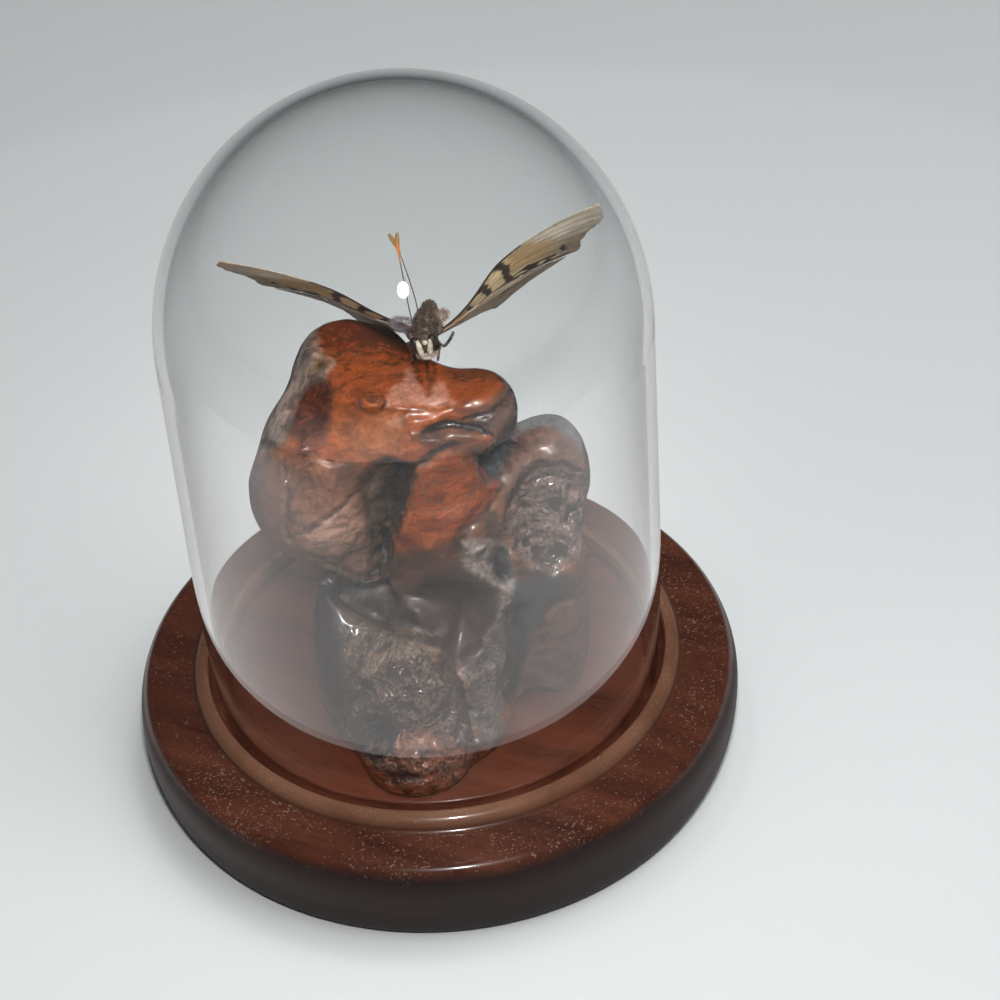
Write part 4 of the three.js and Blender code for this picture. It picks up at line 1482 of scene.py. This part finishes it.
def makeBody(form):
    bm = bmesh.new()
    for lobe in form["lobes"].values():
        addLobe(bm, *lobe)
    for name, (radius, *line) in form["legs"].items():
        path = bentPath(line, form["joints"] * 4)
        radii = [radius * (1 + 0.22 * math.cos(i / 4 * math.tau)) for i in range(len(path))]
        mesh = makeTube(name, path, radii)
        bm.from_mesh(mesh)
        bpy.data.meshes.remove(mesh)
    body = newPiece("butterflyBody", bm)
    remeshed(body, form["voxel"], 1)
    places = vertexArray(body.data)
    rough = fractalAt(places, 0.5, 2) * 0.05
    setVertices(body.data, places + rough[:, None] * vertexArray(body.data, "normal"))
    return body


def makeLobes(name, lobes):
    bm = bmesh.new()
    for lobe in lobes.values():
        addLobe(bm, *lobe)
    return newPiece(name, bm)


def growHairs(name, at, size, turn, count, length, radius, lean, colour):
    curve = bpy.data.curves.new(name, "CURVE")
    curve.dimensions = "3D"
    curve.bevel_depth = 1
    curve.bevel_resolution = 0
    mound = placed(at, size, turn)
    for _ in range(count):
        z = random.uniform(-1, 1)
        angle = random.uniform(0, math.tau)
        flat = math.sqrt(1 - z * z)
        out = Vector((flat * math.cos(angle), flat * math.sin(angle), z))
        root = mound @ out
        normal = (mound.to_3x3().inverted().transposed() @ out).normalized()
        stray = Vector([random.gauss(0, 0.28) for _ in range(3)])
        heading = (normal + Vector(lean) * 0.8 + stray).normalized()
        long = random.uniform(*length)
        bend = Vector((random.gauss(0, 0.12), random.gauss(0, 0.12), -0.12)) * long
        spline = curve.splines.new("POLY")
        spline.points.add(2)
        for point, share, thick in zip(spline.points, (-0.1, 0.5, 1.0), (1.0, 0.75, 0.15)):
            point.co = (*(root + heading * long * share + bend * max(share, 0) ** 2), 1)
            point.radius = radius * thick
    piece = fromMesh(name, curveMesh(name, curve))
    shades = np.random.default_rng(count).random(count)
    setMask(piece.data, "shade", np.repeat(shades, len(piece.data.vertices) // count))
    finishPiece(piece, None, [hairMaterials[colour]])


def makeHairMaterial(name, colours):
    material, tree, shader = newMaterial(name)
    tone = ramp(tree, mask(tree, "shade"), [(0.15, colours[0]), (0.9, colours[1])])
    dress(tree, shader, BaseColor=tone, Roughness=0.6, SpecularIORLevel=0.2)
    return material


def makeBodyMaterial():
    material, tree, shader = newMaterial("bodyCrust")
    place = objectPlace(tree)
    mottle = noiseAt(tree, place, 900.0, 4.0)
    tone = ramp(tree, mottle, [(0.35, (0.028, 0.020, 0.015)), (0.65, (0.11, 0.085, 0.065))])
    dress(tree, shader, BaseColor=tone, Roughness=0.6)
    return material


def makeEyeMaterial():
    material, tree, shader = newMaterial("eyeGlaze")
    place = objectPlace(tree)
    facets = addNode(tree, "ShaderNodeTexVoronoi", {"Vector": place, "Scale": 9000.0}).outputs["Distance"]
    mottle = noiseAt(tree, place, 500.0, 3.0)
    tone = ramp(tree, mottle, [(0.35, (0.006, 0.003, 0.002)), (0.7, (0.024, 0.010, 0.006))])
    dress(
        tree, shader, BaseColor=tone, Roughness=0.3, CoatWeight=0.6, CoatRoughness=0.15,
        Normal=bumped(tree, facets, 0.4, 0.00003),
    )
    return material


def makePalpMaterial():
    material, tree, shader = newMaterial("palpCream")
    place = objectPlace(tree)
    mottle = noiseAt(tree, place, 1500.0, 4.0)
    tone = ramp(tree, mottle, [(0.3, (0.22, 0.17, 0.12)), (0.62, (0.50, 0.44, 0.36))])
    dress(tree, shader, BaseColor=tone, Roughness=0.7)
    return material


def makeAntennaMaterial():
    material, tree, shader = newMaterial("antennaThread")
    bands = split(tree, objectPlace(tree))[2]
    ringed = span(tree, maths(tree, "SINE", times(tree, bands, 9000.0)), 0.2, 0.9, 0.0, 0.55)
    thread = mixed(tree, ringed, (0.065, 0.032, 0.021, 1), (0.16, 0.10, 0.07, 1))
    club = mixed(tree, mask(tree, "tip"), (0.42, 0.145, 0.030, 1), (0.22, 0.13, 0.045, 1))
    tone = mixed(tree, mask(tree, "club"), thread, club)
    dress(tree, shader, BaseColor=tone, Roughness=0.5)
    return material


finishPiece(makeBody(bodyForm), "butterfly_body", [makeBodyMaterial()])
finishPiece(makeLobes("butterflyEyes", bodyForm["eyes"]), None, [makeEyeMaterial()])
finishPiece(makeLobes("butterflyPalps", bodyForm["palps"]), None, [makePalpMaterial()])
hairMaterials = {name: makeHairMaterial(name, colours) for name, colours in hairColours.items()}
for name, hair in hairForm.items():
    growHairs(name + "Hairs", **hair)
antennaMaterial = makeAntennaMaterial()
for sideName, corners in antennaForm["paths"].items():
    antenna = makeAntenna("antenna" + sideName, corners, antennaForm)
    finishPiece(antenna, "antenna_" + sideName.lower(), [antennaMaterial])


# ---- setting: pale floor, soft studio lights ----
settingForm = {
    "floorSize": 6.0,
    "floorColour": (0.70, 0.725, 0.73, 1),
    "sky": (0.80, 0.84, 0.86, 1),
    "skyStrength": 0.10,
    "card": {"inner": 0.053, "outer": 0.214, "height": 0.0012, "front": 1.45, "back": 0.55},
}

lights = {
    "key": {
        "at": (0.019, -0.285, 0.40), "size": (0.034, 0.046), "power": 1.25, "colour": (1.0, 0.985, 0.96),
        "shape": "ELLIPSE", "gloss": True,
    },
    "overhead": {
        "at": (0.40, -0.10, 1.10), "size": (0.9, 0.9), "power": 8.8, "colour": (0.97, 0.99, 1.0),
        "shape": "SQUARE", "gloss": False,
    },
}


def makeCard(form):  # a bright ring of card around the foot, seen only as a reflection in the glass
    bm = bmesh.new()
    bmesh.ops.create_circle(bm, cap_ends=False, segments=96, radius=form["inner"])
    made = bmesh.ops.extrude_edge_only(bm, edges=bm.edges[:])
    rim = [v for v in made["geom"] if isinstance(v, bmesh.types.BMVert)]
    spread = form["outer"] / form["inner"]
    bmesh.ops.scale(bm, verts=rim, vec=(spread, spread, 1))
    bmesh.ops.translate(bm, verts=bm.verts, vec=(0, 0, form["height"]))
    card = newPiece("brightCard", bm)
    material, tree, shader = newMaterial("cardGlow")
    depth = split(tree, objectPlace(tree))[1]
    glow = span(tree, depth, 0.05, -0.04, form["back"], form["front"])
    glow = times(tree, glow, span(tree, depth, -0.130, -0.066, 0.08, 1.0))
    tree.nodes.remove(shader)
    path = addNode(tree, "ShaderNodeLightPath")
    glow = times(tree, glow, maths(tree, "LESS_THAN", path.outputs["Transmission Depth"], 0.5))
    lamp = addNode(tree, "ShaderNodeEmission", {"Color": (1.0, 0.965, 0.955, 1), "Strength": glow})
    mirrored = maths(tree, "GREATER_THAN", path.outputs["Glossy Depth"], 0.5)
    inWall = maths(tree, "COMPARE", path.outputs["Transmission Depth"], 1.5, 1.0)
    mirrored = times(tree, mirrored, minus(tree, 1.0, inWall))
    clear = addNode(tree, "ShaderNodeBsdfTransparent")
    either = addNode(tree, "ShaderNodeMixShader", {0: mirrored, 1: clear.outputs[0], 2: lamp.outputs[0]})
    tree.links.new(either.outputs[0], tree.nodes["Material Output"].inputs["Surface"])
    card.data.materials.append(material)
    card.visible_camera = card.visible_diffuse = card.visible_shadow = False


def makeFloor(form):
    bm = bmesh.new()
    bmesh.ops.create_grid(bm, x_segments=2, y_segments=2, size=form["floorSize"] / 2)
    floor = newPiece("paleFloor", bm)
    material, tree, shader = newMaterial("palePaper")
    place = objectPlace(tree)
    patch = span(tree, noiseAt(tree, place, 3.0, 3.0), 0.3, 0.7, 0.0, 0.5)
    tone = mixed(tree, patch, form["floorColour"], tuple(c * 0.95 for c in form["floorColour"]))
    dress(tree, shader, BaseColor=tone, Roughness=0.6)
    floor.data.materials.append(material)


def makeLight(name, at, size, power, colour, shape, gloss, aim=(0, 0, 0.06)):
    data = bpy.data.lights.new(name, "AREA")
    data.shape = shape
    data.size, data.size_y = size
    data.energy = power
    data.color = colour
    lamp = bpy.data.objects.new(name, data)
    bpy.context.scene.collection.objects.link(lamp)
    lamp.location = at
    lamp.rotation_euler = (Vector(aim) - Vector(at)).to_track_quat("-Z", "Y").to_euler()
    lamp.visible_camera = False
    lamp.visible_glossy = lamp.visible_transmission = gloss


def makeSetting(form):
    makeFloor(form)
    makeCard(form["card"])
    for name, light in lights.items():
        makeLight(name, **light)
    world = bpy.data.worlds.new("studio")
    world.use_nodes = True
    sky = world.node_tree.nodes["Background"]
    sky.inputs["Color"].default_value = form["sky"]
    sky.inputs["Strength"].default_value = form["skyStrength"]
    scene = bpy.context.scene
    scene.world = world
    scene.view_settings.view_transform = "Standard"


makeSetting(settingForm)
print("lights and floor set")
